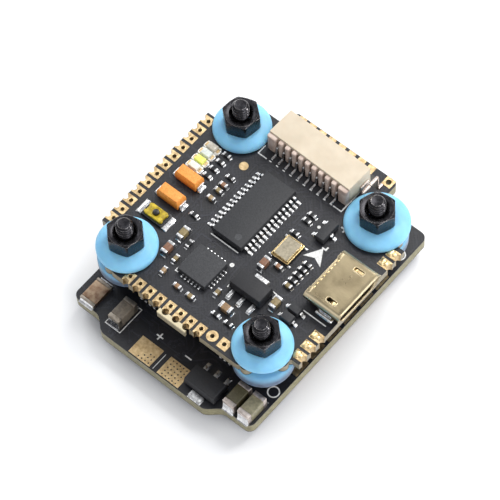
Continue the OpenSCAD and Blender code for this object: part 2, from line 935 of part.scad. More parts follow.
// Plastic tongue on a block that fills the rear of the shell
module usb_insulator() {
  block = [1.3, 4.6, 1.75];
  block_z = 0.35;
  tongue = [3.2, 3.7, 0.6];
  color("#26272b")
  translate([usb_at[0] + usb_wall + gap, usb_at[1], fc_top]) {
    translate([block[0] / 2, 0, 0]) box_at(block, block_z);
    translate([block[0] + tongue[0] / 2, 0, 0]) box_at(tongue, usb_tongue_z);
  }
}

// Five contacts on the tongue's lower face
module usb_contacts() {
  contact = [3.0, 0.3, 0.1];
  pitch = 0.65;
  from_rear = 1.65;
  color("#d8c08a")
  translate([usb_at[0] + from_rear + contact[0] / 2, usb_at[1], fc_top])
    for (i = [-2:2]) {
      translate([0, i * pitch, 0]) box_at(contact, usb_tongue_z - contact[2]);
    }
}

// ---- boot switch ----

module boot_switch_base() {
  well_d = collar_d + 0.1;
  color("#1c1d20")
  translate([boot_at[0], boot_at[1], fc_top])
    difference() {
      box_at(boot_base, 0);
      translate([0, 0, boot_floor]) cylinder(d = well_d, h = 1);
    }
}

module boot_switch_cover() {
  cover_h = boot_cover_top - boot_base[2];
  color("#d9bd2e")
  translate([boot_at[0], boot_at[1], fc_top + boot_base[2]])
    difference() {
      box_at([boot_cover[0], boot_cover[1], cover_h], 0);
      translate([0, 0, -eps]) cylinder(d = collar_d + 0.1, h = cover_h - boot_cover_t);
      translate([0, 0, -eps]) cylinder(d = plunger_d + 0.08, h = 1);
    }
}

module boot_switch_ends() {
  pad = [0.5, 1.95, 0.2];
  color("#d9d9d4")
  for (side = [-1, 1]) {
    translate([boot_at[0] + side * (boot_base[0] + pad[0]) / 2, boot_at[1], fc_top]) box_at(pad, 0);
  }
}

// Sprung steel disc on the floor of the switch
module boot_spring_dome() {
  color("#b8b8b4")
  translate([boot_at[0], boot_at[1], fc_top + boot_floor]) cylinder(d = dome_d, h = dome_h);
}

// The plunger's collar is trapped under the cover, and it stops short of the dome's floor
module boot_plunger() {
  collar_z = boot_cover_top - boot_cover_t - collar_h - eps;
  proud = plunger_travel + 0.05;
  color("#15161a")
  translate([boot_at[0], boot_at[1], fc_top]) {
    translate([0, 0, collar_z]) cylinder(d = collar_d, h = collar_h);
    translate([0, 0, collar_z]) cylinder(d = plunger_d, h = boot_cover_top + proud - collar_z);
  }
}

// ---- underside of the flight board ----

module main_processor() {
  color("#2b2d31")
  translate([0, 0, fc_bottom - LQFP64[2]]) box_at([LQFP64[0], LQFP64[1], LQFP64[2] - chip_stand], 0);
}

module main_processor_leads() {
  color("#c9c9c6")
  translate([0, 0, fc_bottom])
    rotate([180, 0, 0])
      for (turn = [0, 90]) {
        rotate([0, 0, turn]) lead_rows(LQFP64[0], 16, 0.5, 0.95, 0.6, 0.22, 0.13);
      }
}

module flash_chip() {
  color("#2b2d31") translate([flash_at[0], flash_at[1], fc_bottom - WSON8[2]]) box_at(WSON8, 0);
}

stack_screws();
lower_nuts();
upper_nuts();
grommets();
esc_board();
battery_pads();
motor_pads();
esc_signal_pads();
esc_capacitors();
esc_capacitor_ends();
current_shunt();
shunt_ends();
esc_regulator();
esc_regulator_leads();
driver_chips();
driver_chip_leads();
motor_processors();
mosfets();
mosfet_leads();
esc_socket();
esc_socket_pins();
fc_board();
side_pads();
rear_pads();
usb_side_pads();
test_pad();
video_chip();
video_chip_leads();
gyro_chip();
gyro_pads();
crystal_base();
crystal_lid();
regulator();
regulator_leads();
transistor();
transistor_leads();
tantalum_capacitors();
tantalum_ends();
led_bases();
led_lenses();
usb_shell();
usb_insulator();
usb_contacts();
plug_socket();
plug_socket_pins();
plug_socket_tabs();
boot_switch_base();
boot_switch_cover();
boot_switch_ends();
boot_spring_dome();
boot_plunger();
ceramic_capacitors();
resistors();
diodes();
part_ends();
main_processor();
main_processor_leads();
flash_chip();
underside_socket();
underside_socket_pins();
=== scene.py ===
"""Looks of the flight controller stack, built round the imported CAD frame.
Sizes in this script are millimetres; Form.piece() turns them into metres."""
import math
import random
from collections import namedtuple

import bmesh
import bpy
from mathutils import Matrix, Vector
from mathutils.bvhtree import BVHTree


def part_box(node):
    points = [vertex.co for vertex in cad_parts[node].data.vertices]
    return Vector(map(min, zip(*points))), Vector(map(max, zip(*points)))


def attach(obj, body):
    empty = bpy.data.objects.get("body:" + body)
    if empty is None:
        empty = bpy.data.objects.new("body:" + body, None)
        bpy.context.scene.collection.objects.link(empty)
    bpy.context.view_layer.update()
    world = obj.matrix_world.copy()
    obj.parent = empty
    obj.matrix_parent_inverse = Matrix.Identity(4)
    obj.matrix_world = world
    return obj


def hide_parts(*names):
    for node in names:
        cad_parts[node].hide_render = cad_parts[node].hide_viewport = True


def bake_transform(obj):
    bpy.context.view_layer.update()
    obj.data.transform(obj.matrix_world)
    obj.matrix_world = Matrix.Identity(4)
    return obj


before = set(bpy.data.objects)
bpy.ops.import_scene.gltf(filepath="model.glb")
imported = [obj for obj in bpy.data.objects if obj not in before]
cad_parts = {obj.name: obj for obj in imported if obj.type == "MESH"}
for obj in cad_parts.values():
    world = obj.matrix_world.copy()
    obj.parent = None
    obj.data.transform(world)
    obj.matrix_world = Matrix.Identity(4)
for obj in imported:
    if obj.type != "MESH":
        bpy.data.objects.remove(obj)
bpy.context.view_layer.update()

MM = 0.001
ESC, FC, BUTTON = "speed_controller", "flight_board", "boot_button"
Box = namedtuple("Box", "lo hi mid size")


# ---- reading the frame ----

def box_of(points):
    lo = Vector([min(p[i] for p in points) for i in range(3)])
    hi = Vector([max(p[i] for p in points) for i in range(3)])
    return Box(lo, hi, (lo + hi) / 2, hi - lo)


def node_box(node):
    return box_of([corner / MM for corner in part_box(node)])


def solids(node):
    """Box of each separate solid of a CAD node, in millimetres, sorted by place."""
    bm = bmesh.new()
    bm.from_mesh(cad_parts[node].data)
    bmesh.ops.remove_doubles(bm, verts=bm.verts, dist=1e-7)
    seen, boxes = set(), []
    for first in bm.verts:
        if first in seen:
            continue
        group, stack = [], [first]
        seen.add(first)
        while stack:
            vert = stack.pop()
            group.append(vert.co / MM)
            for edge in vert.link_edges:
                other = edge.other_vert(vert)
                if other not in seen:
                    seen.add(other)
                    stack.append(other)
        boxes.append(box_of(group))
    bm.free()
    return sorted(boxes, key=lambda b: (round(b.mid.x, 2), round(b.mid.y, 2), round(b.mid.z, 2)))


def away_from(box, body):
    """Unit vector, along X or Y, in which a lead's box stands out of a body's box."""
    offset = box.mid - body.mid
    x_gap = abs(offset.x) - body.size.x / 2
    y_gap = abs(offset.y) - body.size.y / 2
    if x_gap > y_gap:
        return Vector((math.copysign(1, offset.x), 0, 0))
    return Vector((0, math.copysign(1, offset.y), 0))


def nearest(box, boxes):
    return min(boxes, key=lambda b: (b.mid - box.mid).length)


FC_BOX, ESC_BOX = node_box("fc_board"), node_box("esc_board")
FC_TOP, FC_BOTTOM = FC_BOX.hi.z, FC_BOX.lo.z
ESC_TOP, ESC_BOTTOM = ESC_BOX.hi.z, ESC_BOX.lo.z
HOLES = [(b.mid.x, b.mid.y) for b in solids("stack_screws")]


# ---- mesh building ----

class Form:
    """Collects vertices and faces in millimetres, then becomes one piece."""

    def __init__(self):
        self.points, self.faces, self.tints = [], [], []
        self.tint = 0
        self.place = Matrix.Identity(4)

    def add(self, points, faces):
        start = len(self.points)
        self.points += [self.place @ Vector(p) for p in points]
        self.faces += [[start + i for i in face] for face in faces]
        self.tints += [self.tint] * len(faces)

    def loft(self, rings, caps=True):
        n = len(rings[0])
        faces = [
            [r * n + i, r * n + (i + 1) % n, (r + 1) * n + (i + 1) % n, (r + 1) * n + i]
            for r in range(len(rings) - 1)
            for i in range(n)
        ]
        if caps:
            faces.append(list(range(n))[::-1])
            faces.append([(len(rings) - 1) * n + i for i in range(n)])
        self.add([p for ring in rings for p in ring], faces)

    def sheet(self, rows):
        """Open surface through rows of points."""
        n = len(rows[0])
        faces = [
            [r * n + i, r * n + i + 1, (r + 1) * n + i + 1, (r + 1) * n + i]
            for r in range(len(rows) - 1)
            for i in range(n - 1)
        ]
        self.add([p for row in rows for p in row], faces)

    def loop(self, rings):
        """Rings joined end to end, such as a washer's."""
        self.loft(list(rings) + [rings[0]], caps=False)

    def piece(self, name, body, materials, slot, replaces=(), sharp=38, weld=False):
        mesh = bpy.data.meshes.new(name)
        mesh.from_pydata([p * MM for p in self.points], [], self.faces)
        for material in materials:
            mesh.materials.append(material)
        mesh.polygons.foreach_set("material_index", self.tints)
        bm = bmesh.new()
        bm.from_mesh(mesh)
        if weld:
            bmesh.ops.remove_doubles(bm, verts=bm.verts, dist=2e-7)
        bmesh.ops.recalc_face_normals(bm, faces=bm.faces)
        bm.to_mesh(mesh)
        bm.free()
        mesh.polygons.foreach_set("use_smooth", [True] * len(mesh.polygons))
        mesh.set_sharp_from_angle(angle=math.radians(sharp))
        obj = bpy.data.objects.new(name, mesh)
        bpy.context.scene.collection.objects.link(obj)
        if isinstance(body, str):
            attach(obj, body)
        else:
            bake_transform(obj)
        if replaces:
            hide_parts(*replaces)
        return obj


def rect_ring(lo, hi, z, inset=0.0, r=0.1, steps=3):
    """Rounded rectangle at height z, counter-clockwise."""
    x0, y0, x1, y1 = lo[0] + inset, lo[1] + inset, hi[0] - inset, hi[1] - inset
    r = max(min(r, (x1 - x0) / 2.01, (y1 - y0) / 2.01), 0.002)
    ring = []
    for cx, cy, turn in (
        (x1 - r, y1 - r, 0), (x0 + r, y1 - r, 90), (x0 + r, y0 + r, 180), (x1 - r, y0 + r, 270)
    ):
        for i in range(steps + 1):
            a = math.radians(turn + 90 * i / steps)
            ring.append((cx + r * math.cos(a), cy + r * math.sin(a), z))
    return ring


def round_ring(x, y, r, z, count=32, turn=0.0):
    return [
        (x + r * math.cos(turn + math.tau * i / count), y + r * math.sin(turn + math.tau * i / count), z)
        for i in range(count)
    ]


def soft_box(form, lo, hi, edge=0.05, corner=None, base=None):
    """Block with rounded edges. base is the rounding of its lower edge."""
    corner = edge if corner is None else corner
    base = edge if base is None else base
    rings = []
    for i in range(4):
        a = math.radians(30 * i)
        inset = base * (1 - math.sin(a))
        rings.append(rect_ring(lo, hi, lo[2] + base * (1 - math.cos(a)), inset, corner))
    for i in range(4):
        a = math.radians(30 * i)
        inset = edge * (1 - math.cos(a))
        rings.append(rect_ring(lo, hi, hi[2] - edge * (1 - math.sin(a)), inset, corner))
    form.loft(rings)


def blob(form, lo, hi, corner=0.12):
    """Solder mound: a rounded footprint that domes up."""
    reach = 0.45 * min(hi[0] - lo[0], hi[1] - lo[1])
    rings = [
        rect_ring(
            lo, hi, lo[2] + (hi[2] - lo[2]) * math.sin(math.radians(a)),
            reach * (1 - math.cos(math.radians(a))), corner
        )
        for a in (0, 18, 36, 54, 72, 88)
    ]
    form.loft(rings)


def fillet(form, origin, away, lo, hi, corner):
    """Solder mound set at origin, whose x runs along away."""
    form.place = placed(Vector(origin), away)
    blob(form, lo, hi, corner)
    form.place = Matrix.Identity(4)


def moulded(form, box, draft=0.1, edge=0.05, seam=0.5):
    """Moulded chip body: widest at its parting line, with drafted sides and softened edges."""
    lo, hi, corner = box.lo, box.hi, 0.06
    seam_z = lo.z + seam * box.size.z
    levels = [
        (lo.z, draft), (seam_z - 0.03, 0.015), (seam_z - 0.025, 0.0), (seam_z + 0.025, 0.0),
        (seam_z + 0.03, 0.015),
        (hi.z - edge, draft - 0.02), (hi.z - 0.3 * edge, draft), (hi.z, draft + 0.8 * edge),
    ]
    form.loft([rect_ring(lo, hi, z, inset, corner) for z, inset in levels])


def revolve(form, profile, x=0.0, y=0.0, count=48, closed=True):
    rings = [round_ring(x, y, max(r, 0.0005), z, count) for r, z in profile]
    if closed:
        form.loop(rings)
    else:
        form.loft(rings)


def rounded_path(points, r, steps=4):
    """2D path with its inner corners rounded."""
    path = [Vector(points[0])]
    for before, at, after in zip(points, points[1:], points[2:]):
        at = Vector(at)
        a, b = (Vector(before) - at), (Vector(after) - at)
        cut = min(r, a.length / 2.1, b.length / 2.1)
        p, q = at + a.normalized() * cut, at + b.normalized() * cut
        for i in range(steps + 1):
            t = i / steps
            path.append(p * (1 - t) ** 2 + at * 2 * t * (1 - t) + q * t ** 2)
    return path + [Vector(points[-1])]


def band(path, thick):
    """Closed outline of a 2D path given a thickness."""
    left, right = [], []
    for i, p in enumerate(path):
        d = (path[min(i + 1, len(path) - 1)] - path[max(i - 1, 0)]).normalized()
        n = Vector((-d.y, d.x)) * thick / 2
        left.append(p + n)
        right.append(p - n)
    return right + left[::-1]


def placed(origin, away):
    """Frame whose X runs along away and whose Z is up, at origin."""
    return Matrix.Translation(origin) @ Matrix.Rotation(math.atan2(away.y, away.x), 4, "Z")


def across(box, away):
    """(length along away, width across it) of a box."""
    return (box.size.x, box.size.y) if abs(away.x) > 0.5 else (box.size.y, box.size.x)


def gull(form, solder, box, away, thick=0.15, up=1, pad=0.16):
    """Bent lead with its solder and pad. up is -1 on the underside of a board."""
    length, width = across(box, away)
    ground = box.lo.z if up > 0 else box.hi.z
    origin = box.mid - away * (length / 2 + 0.06)
    origin.z = ground
    turn = placed(origin, away) @ Matrix.Diagonal((1, 1, up, 1))
    high = box.size.z - thick / 2
    foot = length + 0.06
    path = rounded_path(
        [(0, high), (0.36 * foot, high), (0.52 * foot, thick / 2 + 0.01), (foot, thick / 2 + 0.01)], 0.13
    )
    outline = band(path, thick)
    form.place = turn
    form.loft([[(p.x, side * width / 2, p.y) for p in outline] for side in (1, -1)])
    form.place = Matrix.Identity(4)
    solder.place = turn
    grow = 0.5 * width + 0.03
    blob(solder, (0.5 * foot, -grow, 0.004), (foot + pad, grow, 0.5 * thick + 0.02), 0.04)
    solder.place = Matrix.Identity(4)


def terminal(form, solder, end, away, reach=0.22, rise=0.7):
    """Metal cap on the end of a two-ended part, and the concave solder that climbs it."""
    grow = 0.012
    soft_box(form, end.lo - Vector((grow, grow, 0)), end.hi + Vector((grow, grow, grow)), 0.05, 0.06, 0.01)
    length, width = across(end, away)
    top = rise * end.size.z
    origin = end.mid + away * (length / 2)
    origin.z = end.lo.z
    solder.place = placed(origin, away)
    rings = []
    for i in range(5):
        t = i / 4
        w = width * (0.5 - 0.03 * t)
        z = 0.012 + top * (1 - t) ** 2.2
        x = reach * t
        rings.append([(x, -w, 0), (x, w, 0), (x, 0.9 * w, z), (x, 0, z + 0.02 * (1 - t)), (x, -0.9 * w, z)])
    solder.loft(rings)
    solder.place = Matrix.Identity(4)


def strip(form, points, width, z, thick=0.012, closed=False):
    """Flat printed line with mitred corners."""
    flat = [Vector((p[0], p[1])) for p in points]
    count, rings = len(flat), []
    for i, p in enumerate(flat):
        before = flat[i - 1] if (i > 0 or closed) else None
        after = flat[(i + 1) % count] if (i < count - 1 or closed) else None
        into = (p - before).normalized() if before is not None else (after - p).normalized()
        out = (after - p).normalized() if after is not None else into
        along = (into + out).normalized()
        n = Vector((-along.y, along.x)) * (width / 2 / max(0.35, along.dot(into)))
        rings.append([(*(p - n), z), (*(p + n), z), (*(p + n), z + thick), (*(p - n), z + thick)])
    if closed:
        form.loop(rings)
    else:
        form.loft(rings)


def disc(form, x, y, r, z, thick=0.012, hole=0.0, count=24):
    if hole:
        revolve(form, [(hole, z), (r, z), (r, z + thick), (hole, z + thick)], x, y, count)
    else:
        form.loft([round_ring(x, y, r, z, count), round_ring(x, y, r, z + thick, count)])


# ---- materials ----

def srgb(r, g, b):
    return tuple(
        ((c / 255) / 12.92 if c <= 10 else ((c / 255 + 0.055) / 1.055) ** 2.4) for c in (r, g, b)
    ) + (1.0,)


class Surface:
    """A principled material whose colour, roughness and bump come from noise in millimetres."""

    def __init__(self, name, **sockets):
        self.material = bpy.data.materials.new(name)
        self.material.use_nodes = True
        self.tree = self.material.node_tree
        self.shader = self.tree.nodes["Principled BSDF"]
        for key, value in sockets.items():
            self.shader.inputs[key.replace("_", " ")].default_value = value
        coords = self.tree.nodes.new("ShaderNodeTexCoord").outputs["Object"]
        scale = self.node("VectorMath", operation="SCALE")
        scale.inputs["Scale"].default_value = 1 / MM
        self.link(coords, scale.inputs[0])
        self.mm = scale.outputs[0]

    def node(self, kind, **settings):
        made = self.tree.nodes.new("ShaderNode" + kind)
        for key, value in settings.items():
            setattr(made, key, value)
        return made

    def link(self, a, b):
        self.tree.links.new(a, b)

    def feed(self, *pairs):
        """Link or set each input, as its value is a socket or a constant."""
        for value, socket in pairs:
            if isinstance(value, bpy.types.NodeSocket):
                self.link(value, socket)
            else:
                socket.default_value = value

    def stretched(self, x, y, z):
        made = self.node("VectorMath", operation="MULTIPLY")
        made.inputs[1].default_value = (x, y, z)
        self.link(self.mm, made.inputs[0])
        return made.outputs[0]

    def noise(self, per_mm, detail=3.0, vector=None, distortion=0.0):
        made = self.node("TexNoise")
        settings = {"Scale": per_mm, "Detail": detail, "Distortion": distortion, "Vector": vector or self.mm}
        self.feed(*((value, made.inputs[key]) for key, value in settings.items()))
        return made.outputs["Fac"]

    def ramp(self, fac, stops):
        made = self.node("ValToRGB")
        elements = made.color_ramp.elements
        while len(elements) < len(stops):
            elements.new(0.5)
        for element, (at, colour) in zip(elements, stops):
            element.position = at
            element.color = colour
        self.link(fac, made.inputs[0])
        return made.outputs[0]

    def mix(self, fac, a, b, blend="MIX"):
        made = self.node("Mix", data_type="RGBA", blend_type=blend)
        self.feed((fac, made.inputs[0]), (a, made.inputs[6]), (b, made.inputs[7]))
        return made.outputs[2]

    def math(self, operation, a, b=0.0, clamp=False):
        made = self.node("Math", operation=operation, use_clamp=clamp)
        self.feed((a, made.inputs[0]), (b, made.inputs[1]))
        return made.outputs[0]

    def span(self, fac, low, high, start=0.3, end=0.7):
        made = self.node("MapRange")
        for key, value in (("From Min", start), ("From Max", end), ("To Min", low), ("To Max", high)):
            made.inputs[key].default_value = value
        self.link(fac, made.inputs["Value"])
        return made.outputs[0]

    def part(self, socket, axis):
        made = self.node("SeparateXYZ")
        self.link(socket, made.inputs[0])
        return made.outputs[axis]

    def edges(self, width):
        """1 on edges sharper than their surroundings, 0 on flats."""
        bevel = self.node("Bevel", samples=4)
        bevel.inputs["Radius"].default_value = width * MM
        plain = self.node("NewGeometry").outputs["Normal"]
        dot = self.node("VectorMath", operation="DOT_PRODUCT")
        self.link(bevel.outputs[0], dot.inputs[0])
        self.link(plain, dot.inputs[1])
        return self.span(dot.outputs["Value"], 1.0, 0.0, 0.86, 0.995)

    def colour(self, socket):
        self.link(socket, self.shader.inputs["Base Color"])
        return self

    def rough(self, low, high, per_mm=3.0):
        self.link(self.span(self.noise(per_mm, 4.0), low, high), self.shader.inputs["Roughness"])
        return self

    def bump(self, height_mm, per_mm, detail=3.0, vector=None, socket=None):
        made = self.node("Bump")
        made.inputs["Distance"].default_value = height_mm * MM
        made.inputs["Strength"].default_value = 1.0
        self.link(socket if socket is not None else self.noise(per_mm, detail, vector), made.inputs["Height"])
        old = self.shader.inputs["Normal"].links
        if old:
            self.link(old[0].from_socket, made.inputs["Normal"])
        self.link(made.outputs[0], self.shader.inputs["Normal"])
        return self

    def mottled(self, dark, light, per_mm=1.5, detail=4.0, start=0.35, end=0.65):
        return self.colour(self.ramp(self.noise(per_mm, detail), [(start, dark), (end, light)]))


def board_surface(name, low, high, edge_dark, edge_light, bare_below):
    """Black solder mask on the faces and bare glass laminate, in layers, on the routed edges.
    Where y is less than bare_below the top of the board is a rough, bare break-off stub."""
    s = Surface(name, Specular_IOR_Level=0.5)
    mask = s.ramp(s.noise(0.35, 5.0), [(0.3, srgb(17, 18, 23)), (0.7, srgb(24, 25, 32))])
    fibres = s.ramp(s.noise(2.2, 4.0, s.stretched(1, 1, 6)), [(0.3, edge_dark), (0.7, edge_light)])
    z = s.part(s.mm, 2)
    layers = s.math("SINE", s.math("MULTIPLY", z, 22.0))
    layered = s.mix(s.span(layers, 0.0, 0.45, 0.6, 1.0), fibres, srgb(84, 74, 52))
    normal_z = s.math("ABSOLUTE", s.part(s.node("NewGeometry").outputs["True Normal"], 2))
    near_face = s.math("MAXIMUM", s.math("GREATER_THAN", z, high - 0.11), s.math("LESS_THAN", z, low + 0.09))
    is_mask = s.math("MAXIMUM", s.math("GREATER_THAN", normal_z, 0.5), near_face)
    bare = s.math(
        "MULTIPLY", s.math("LESS_THAN", s.part(s.mm, 1), bare_below), s.math("GREATER_THAN", z, high - 0.28)
    )
    layered = s.mix(bare, layered, srgb(206, 193, 160))
    s.colour(s.mix(s.math("SUBTRACT", is_mask, bare, True), layered, mask))
    along_x, along_y = (s.math("SINE", s.math("MULTIPLY", s.part(s.mm, axis), 13.0)) for axis in (0, 1))
    weave = s.math("MULTIPLY", along_x, along_y)
    s.rough(0.36, 0.52, 0.9).bump(0.004, 5.0, socket=weave).bump(0.006, 7.0)
    return s.material


def metal(
    name, dark, light, rough=(0.25, 0.4), per_mm=2.0, bump=0.006, bump_per_mm=6.0, edge=None, **sockets
):
    s = Surface(name, Metallic=1.0, **sockets)
    base = s.ramp(s.noise(per_mm, 4.0), [(0.32, dark), (0.68, light)])
    if edge:
        # bright edge colour: partly wear, partly a painted highlight where the edges catch the light
        base = s.mix(s.edges(0.08), base, edge)
    s.colour(base).rough(*rough, per_mm).bump(bump, bump_per_mm)
    return s.material


def epoxy(name, dark, light, rough=(0.5, 0.66), bump=0.007, **sockets):
    """Black moulding compound with its fine filler grain."""
    s = Surface(name, Specular_IOR_Level=0.45, **sockets)
    s.mottled(dark, light, 9.0, 6.0, 0.3, 0.75).rough(*rough, 5.0).bump(bump, 22.0, 5.0)
    return s.material


def plastic(name, dark, light, rough=(0.4, 0.55), per_mm=0.6, bump=0.004, bump_per_mm=9.0, **sockets):
    s = Surface(name, **sockets)
    s.mottled(dark, light, per_mm).rough(*rough, 2.0).bump(bump, bump_per_mm)
    return s.material


def ceramic(name, stops, grain=5.0, **sockets):
    """Fired ceramic whose tint differs from part to part."""
    s = Surface(name, **sockets)
    each = s.node("NewGeometry").outputs["Random Per Island"]
    body = s.ramp(each, stops)
    spots = s.ramp(s.noise(grain, 5.0), [(0.35, (0.72, 0.72, 0.72, 1)), (0.65, (1.12, 1.12, 1.12, 1))])
    s.colour(s.mix(1.0, body, spots, "MULTIPLY")).rough(0.28, 0.42, 3.0).bump(0.006, 12.0)
    return s.material


mask_fc = board_surface("mask_fc", FC_BOTTOM, FC_TOP, srgb(112, 103, 82), srgb(171, 160, 134), -13.52)
mask_esc = board_surface("mask_esc", ESC_BOTTOM, ESC_TOP, srgb(104, 98, 68), srgb(164, 156, 118), -100)
trace_mask = plastic("trace_mask", srgb(31, 32, 39), srgb(41, 42, 50), (0.34, 0.46), 0.8, 0.004, 8.0)
silk = plastic("silk", srgb(205, 205, 203), srgb(240, 240, 238), (0.55, 0.7), 5.0, 0.006, 12.0)
gold = metal("gold", srgb(186, 158, 116), srgb(222, 198, 154), (0.3, 0.46), 2.5, 0.008, 8.0)
# bright_gold also serves as a painted highlight on the USB shell's springs and hem teeth
bright_gold = metal("bright_gold", srgb(196, 166, 118), srgb(240, 218, 170), (0.24, 0.4), 2.0, 0.02, 4.0)
tin = metal("tin", srgb(165, 165, 166), srgb(226, 226, 226), (0.22, 0.38), 3.0, 0.004, 6.0)
solder = metal("solder", srgb(190, 190, 192), srgb(245, 245, 245), (0.16, 0.3), 2.5, 0.008, 3.0)
frosted_tin = metal("frosted_tin", srgb(176, 164, 156), srgb(218, 207, 200), (0.34, 0.5), 2.0, 0.015, 6.0)
dull_tin = metal("dull_tin", srgb(128, 120, 108), srgb(168, 158, 146), (0.36, 0.5), 1.5, 0.015, 5.0)
chip_black = epoxy("chip_black", srgb(32, 33, 36), srgb(50, 51, 54))
chip_grey = epoxy("chip_grey", srgb(38, 39, 42), srgb(64, 65, 68), (0.55, 0.7), 0.009)
chip_dark = epoxy("chip_dark", srgb(22, 22, 25), srgb(34, 34, 38), (0.5, 0.62))
laser = epoxy("laser", srgb(52, 53, 56), srgb(74, 75, 78), (0.6, 0.75))
ceramic_tan = ceramic(
    "ceramic_tan",
    [
        (0.0, srgb(126, 88, 66)), (0.35, srgb(150, 112, 84)), (0.6, srgb(134, 120, 80)),
        (0.85, srgb(168, 140, 106))
    ]
)
ceramic_olive = ceramic(
    "ceramic_olive", [(0.0, srgb(82, 76, 54)), (0.5, srgb(96, 90, 66)), (1.0, srgb(116, 108, 82))]
)
big_ceramics = [
    ceramic("ceramic_umber", [(0.0, srgb(112, 102, 90)), (1.0, srgb(126, 116, 102))], 3.0),
    ceramic_olive,
    ceramic("ceramic_sage", [(0.0, srgb(134, 128, 102)), (1.0, srgb(148, 142, 116))], 3.0),
]
resistor_black = epoxy("resistor_black", srgb(16, 17, 19), srgb(30, 31, 34), (0.22, 0.36), 0.003)
shunt_alloy = metal("shunt_alloy", srgb(122, 92, 74), srgb(172, 152, 128), (0.36, 0.56), 1.3, 0.02, 5.0)
# its bright edge colour is partly wear and partly a painted highlight
black_steel = metal(
    "black_steel", srgb(46, 46, 49), srgb(62, 61, 64), (0.22, 0.34), 2.2, 0.003, 6.0, srgb(168, 164, 162)
)
cream = plastic(
    "cream", srgb(196, 182, 160), srgb(208, 195, 174), (0.42, 0.55), 0.5, 0.004, 10.0,
    Subsurface_Weight=0.12, Subsurface_Radius=(0.0006, 0.0004, 0.0003), Subsurface_Scale=1.0
)
# painted shade: a pinkish, shaded copy of the cream plastic, for the ribs at the sockets' rear
cream_ribs_shade_tint = plastic("cream_ribs_shade_tint", srgb(186, 164, 152), srgb(214, 196, 184), (0.38, 0.5), 1.0, 0.006, 8.0)
dark_housing = plastic("dark_housing", srgb(44, 40, 36), srgb(58, 54, 48), (0.4, 0.55))
crystal_gold = metal("crystal_gold", srgb(180, 152, 100), srgb(226, 204, 156), (0.18, 0.3), 3.0, 0.006, 5.0)
led_white = plastic("led_white", srgb(218, 214, 204), srgb(240, 238, 230), (0.35, 0.5), 4.0)
yellow_cap = plastic("yellow_cap", srgb(150, 126, 14), srgb(204, 178, 34), (0.3, 0.45), 2.5, 0.01, 6.0)
black_cap = plastic("black_cap", srgb(12, 12, 14), srgb(22, 22, 25), (0.3, 0.45), 3.0)
spring_steel = metal("spring_steel", srgb(150, 150, 148), srgb(200, 200, 198))


def silicone_surface():
    """Soft blue silicone: slightly translucent, with a fine bloom, and painted shade low on the feet."""
    s = Surface(
        "silicone_blue", Subsurface_Weight=0.35, Subsurface_Scale=1.0,
        Subsurface_Radius=(0.0003, 0.0006, 0.0010), Specular_IOR_Level=0.4, Sheen_Weight=0.08,
    )
    fresh = s.ramp(s.noise(0.45, 5.0), [(0.35, srgb(126, 190, 226)), (0.65, srgb(140, 204, 238))])
    # painted shade: the lower feet turn grey-blue towards their base, where the flange and the board shade
    # them
    painted_shade_blue = s.ramp(s.noise(1.2, 5.0), [(0.3, srgb(74, 86, 108)), (0.7, srgb(94, 118, 146))])
    low = s.span(s.part(s.mm, 2), 1.0, 0.0, ESC_TOP + 3.9, FC_BOTTOM + 0.25)
    s.colour(s.mix(low, fresh, painted_shade_blue))
    s.rough(0.42, 0.58, 1.5).bump(0.008, 4.0, 5.0).bump(0.003, 18.0)
    return s.material


def steel_shell_surface():
    """Champagne plated steel: rolled along one way, with handling blotches, and a painted highlight on its
    edges and where the sheet turns upward.
    """
    s = Surface("usb_steel", Metallic=1.0)
    blotch = s.ramp(s.noise(0.4, 5.0, None, 0.6), [(0.3, srgb(130, 118, 94)), (0.7, srgb(160, 147, 119))])
    grain = s.ramp(
        s.noise(3.0, 5.0, s.stretched(0.5, 9, 9)),
        [(0.3, (0.92, 0.92, 0.92, 1)), (0.7, (1.04, 1.04, 1.04, 1))]
    )
    base = s.mix(1.0, blotch, grain, "MULTIPLY")
    # painted highlight: the colour is made bright on sharp edges and where the sheet turns over toward the
    # top, as if catching the light
    tilt = s.part(s.node("NewGeometry").outputs["Normal"], 2)
    turned = s.math("MULTIPLY", s.span(tilt, 0.0, 1.0, 0.3, 0.6), s.span(tilt, 1.0, 0.0, 0.9, 0.985))
    painted_edge_highlight = s.math("MAXIMUM", s.edges(0.14), turned)
    s.colour(s.mix(painted_edge_highlight, base, srgb(250, 232, 194)))
    s.rough(0.26, 0.36, 0.8).bump(0.002, 3.0, 4.0, s.stretched(0.5, 9, 9))
    return s.material


def orange_surface():
    """Moulded orange case with fine specks, and painted shade that darkens it low on its sides."""
    s = Surface(
        "tantalum_orange", Subsurface_Weight=0.08, Subsurface_Radius=(0.0004, 0.0002, 0.0001),
        Subsurface_Scale=1.0
    )
    specks = s.ramp(s.noise(6.0, 6.0), [(0.3, srgb(216, 132, 48)), (0.7, srgb(244, 164, 76))])
    # painted shade: darker orange low on the sides, lighter towards the lit top
    painted_shade_fade = s.span(s.part(s.mm, 2), 0.0, 1.0, FC_TOP + 0.2, FC_TOP + 1.0)
    s.colour(s.mix(painted_shade_fade, srgb(206, 116, 38), specks))
    s.rough(0.38, 0.54, 2.0).bump(0.008, 9.0)
    return s.material


def lid_surface():
    """Brushed and lightly blasted lid of the crystal can."""
    s = Surface("crystal_lid", Metallic=1.0)
    s.colour(s.ramp(s.noise(3.5, 6.0), [(0.3, srgb(134, 127, 111)), (0.7, srgb(160, 152, 134))]))
    s.rough(0.34, 0.5, 4.0).bump(0.006, 10.0, 4.0, s.stretched(3, 0.6, 1))
    return s.material


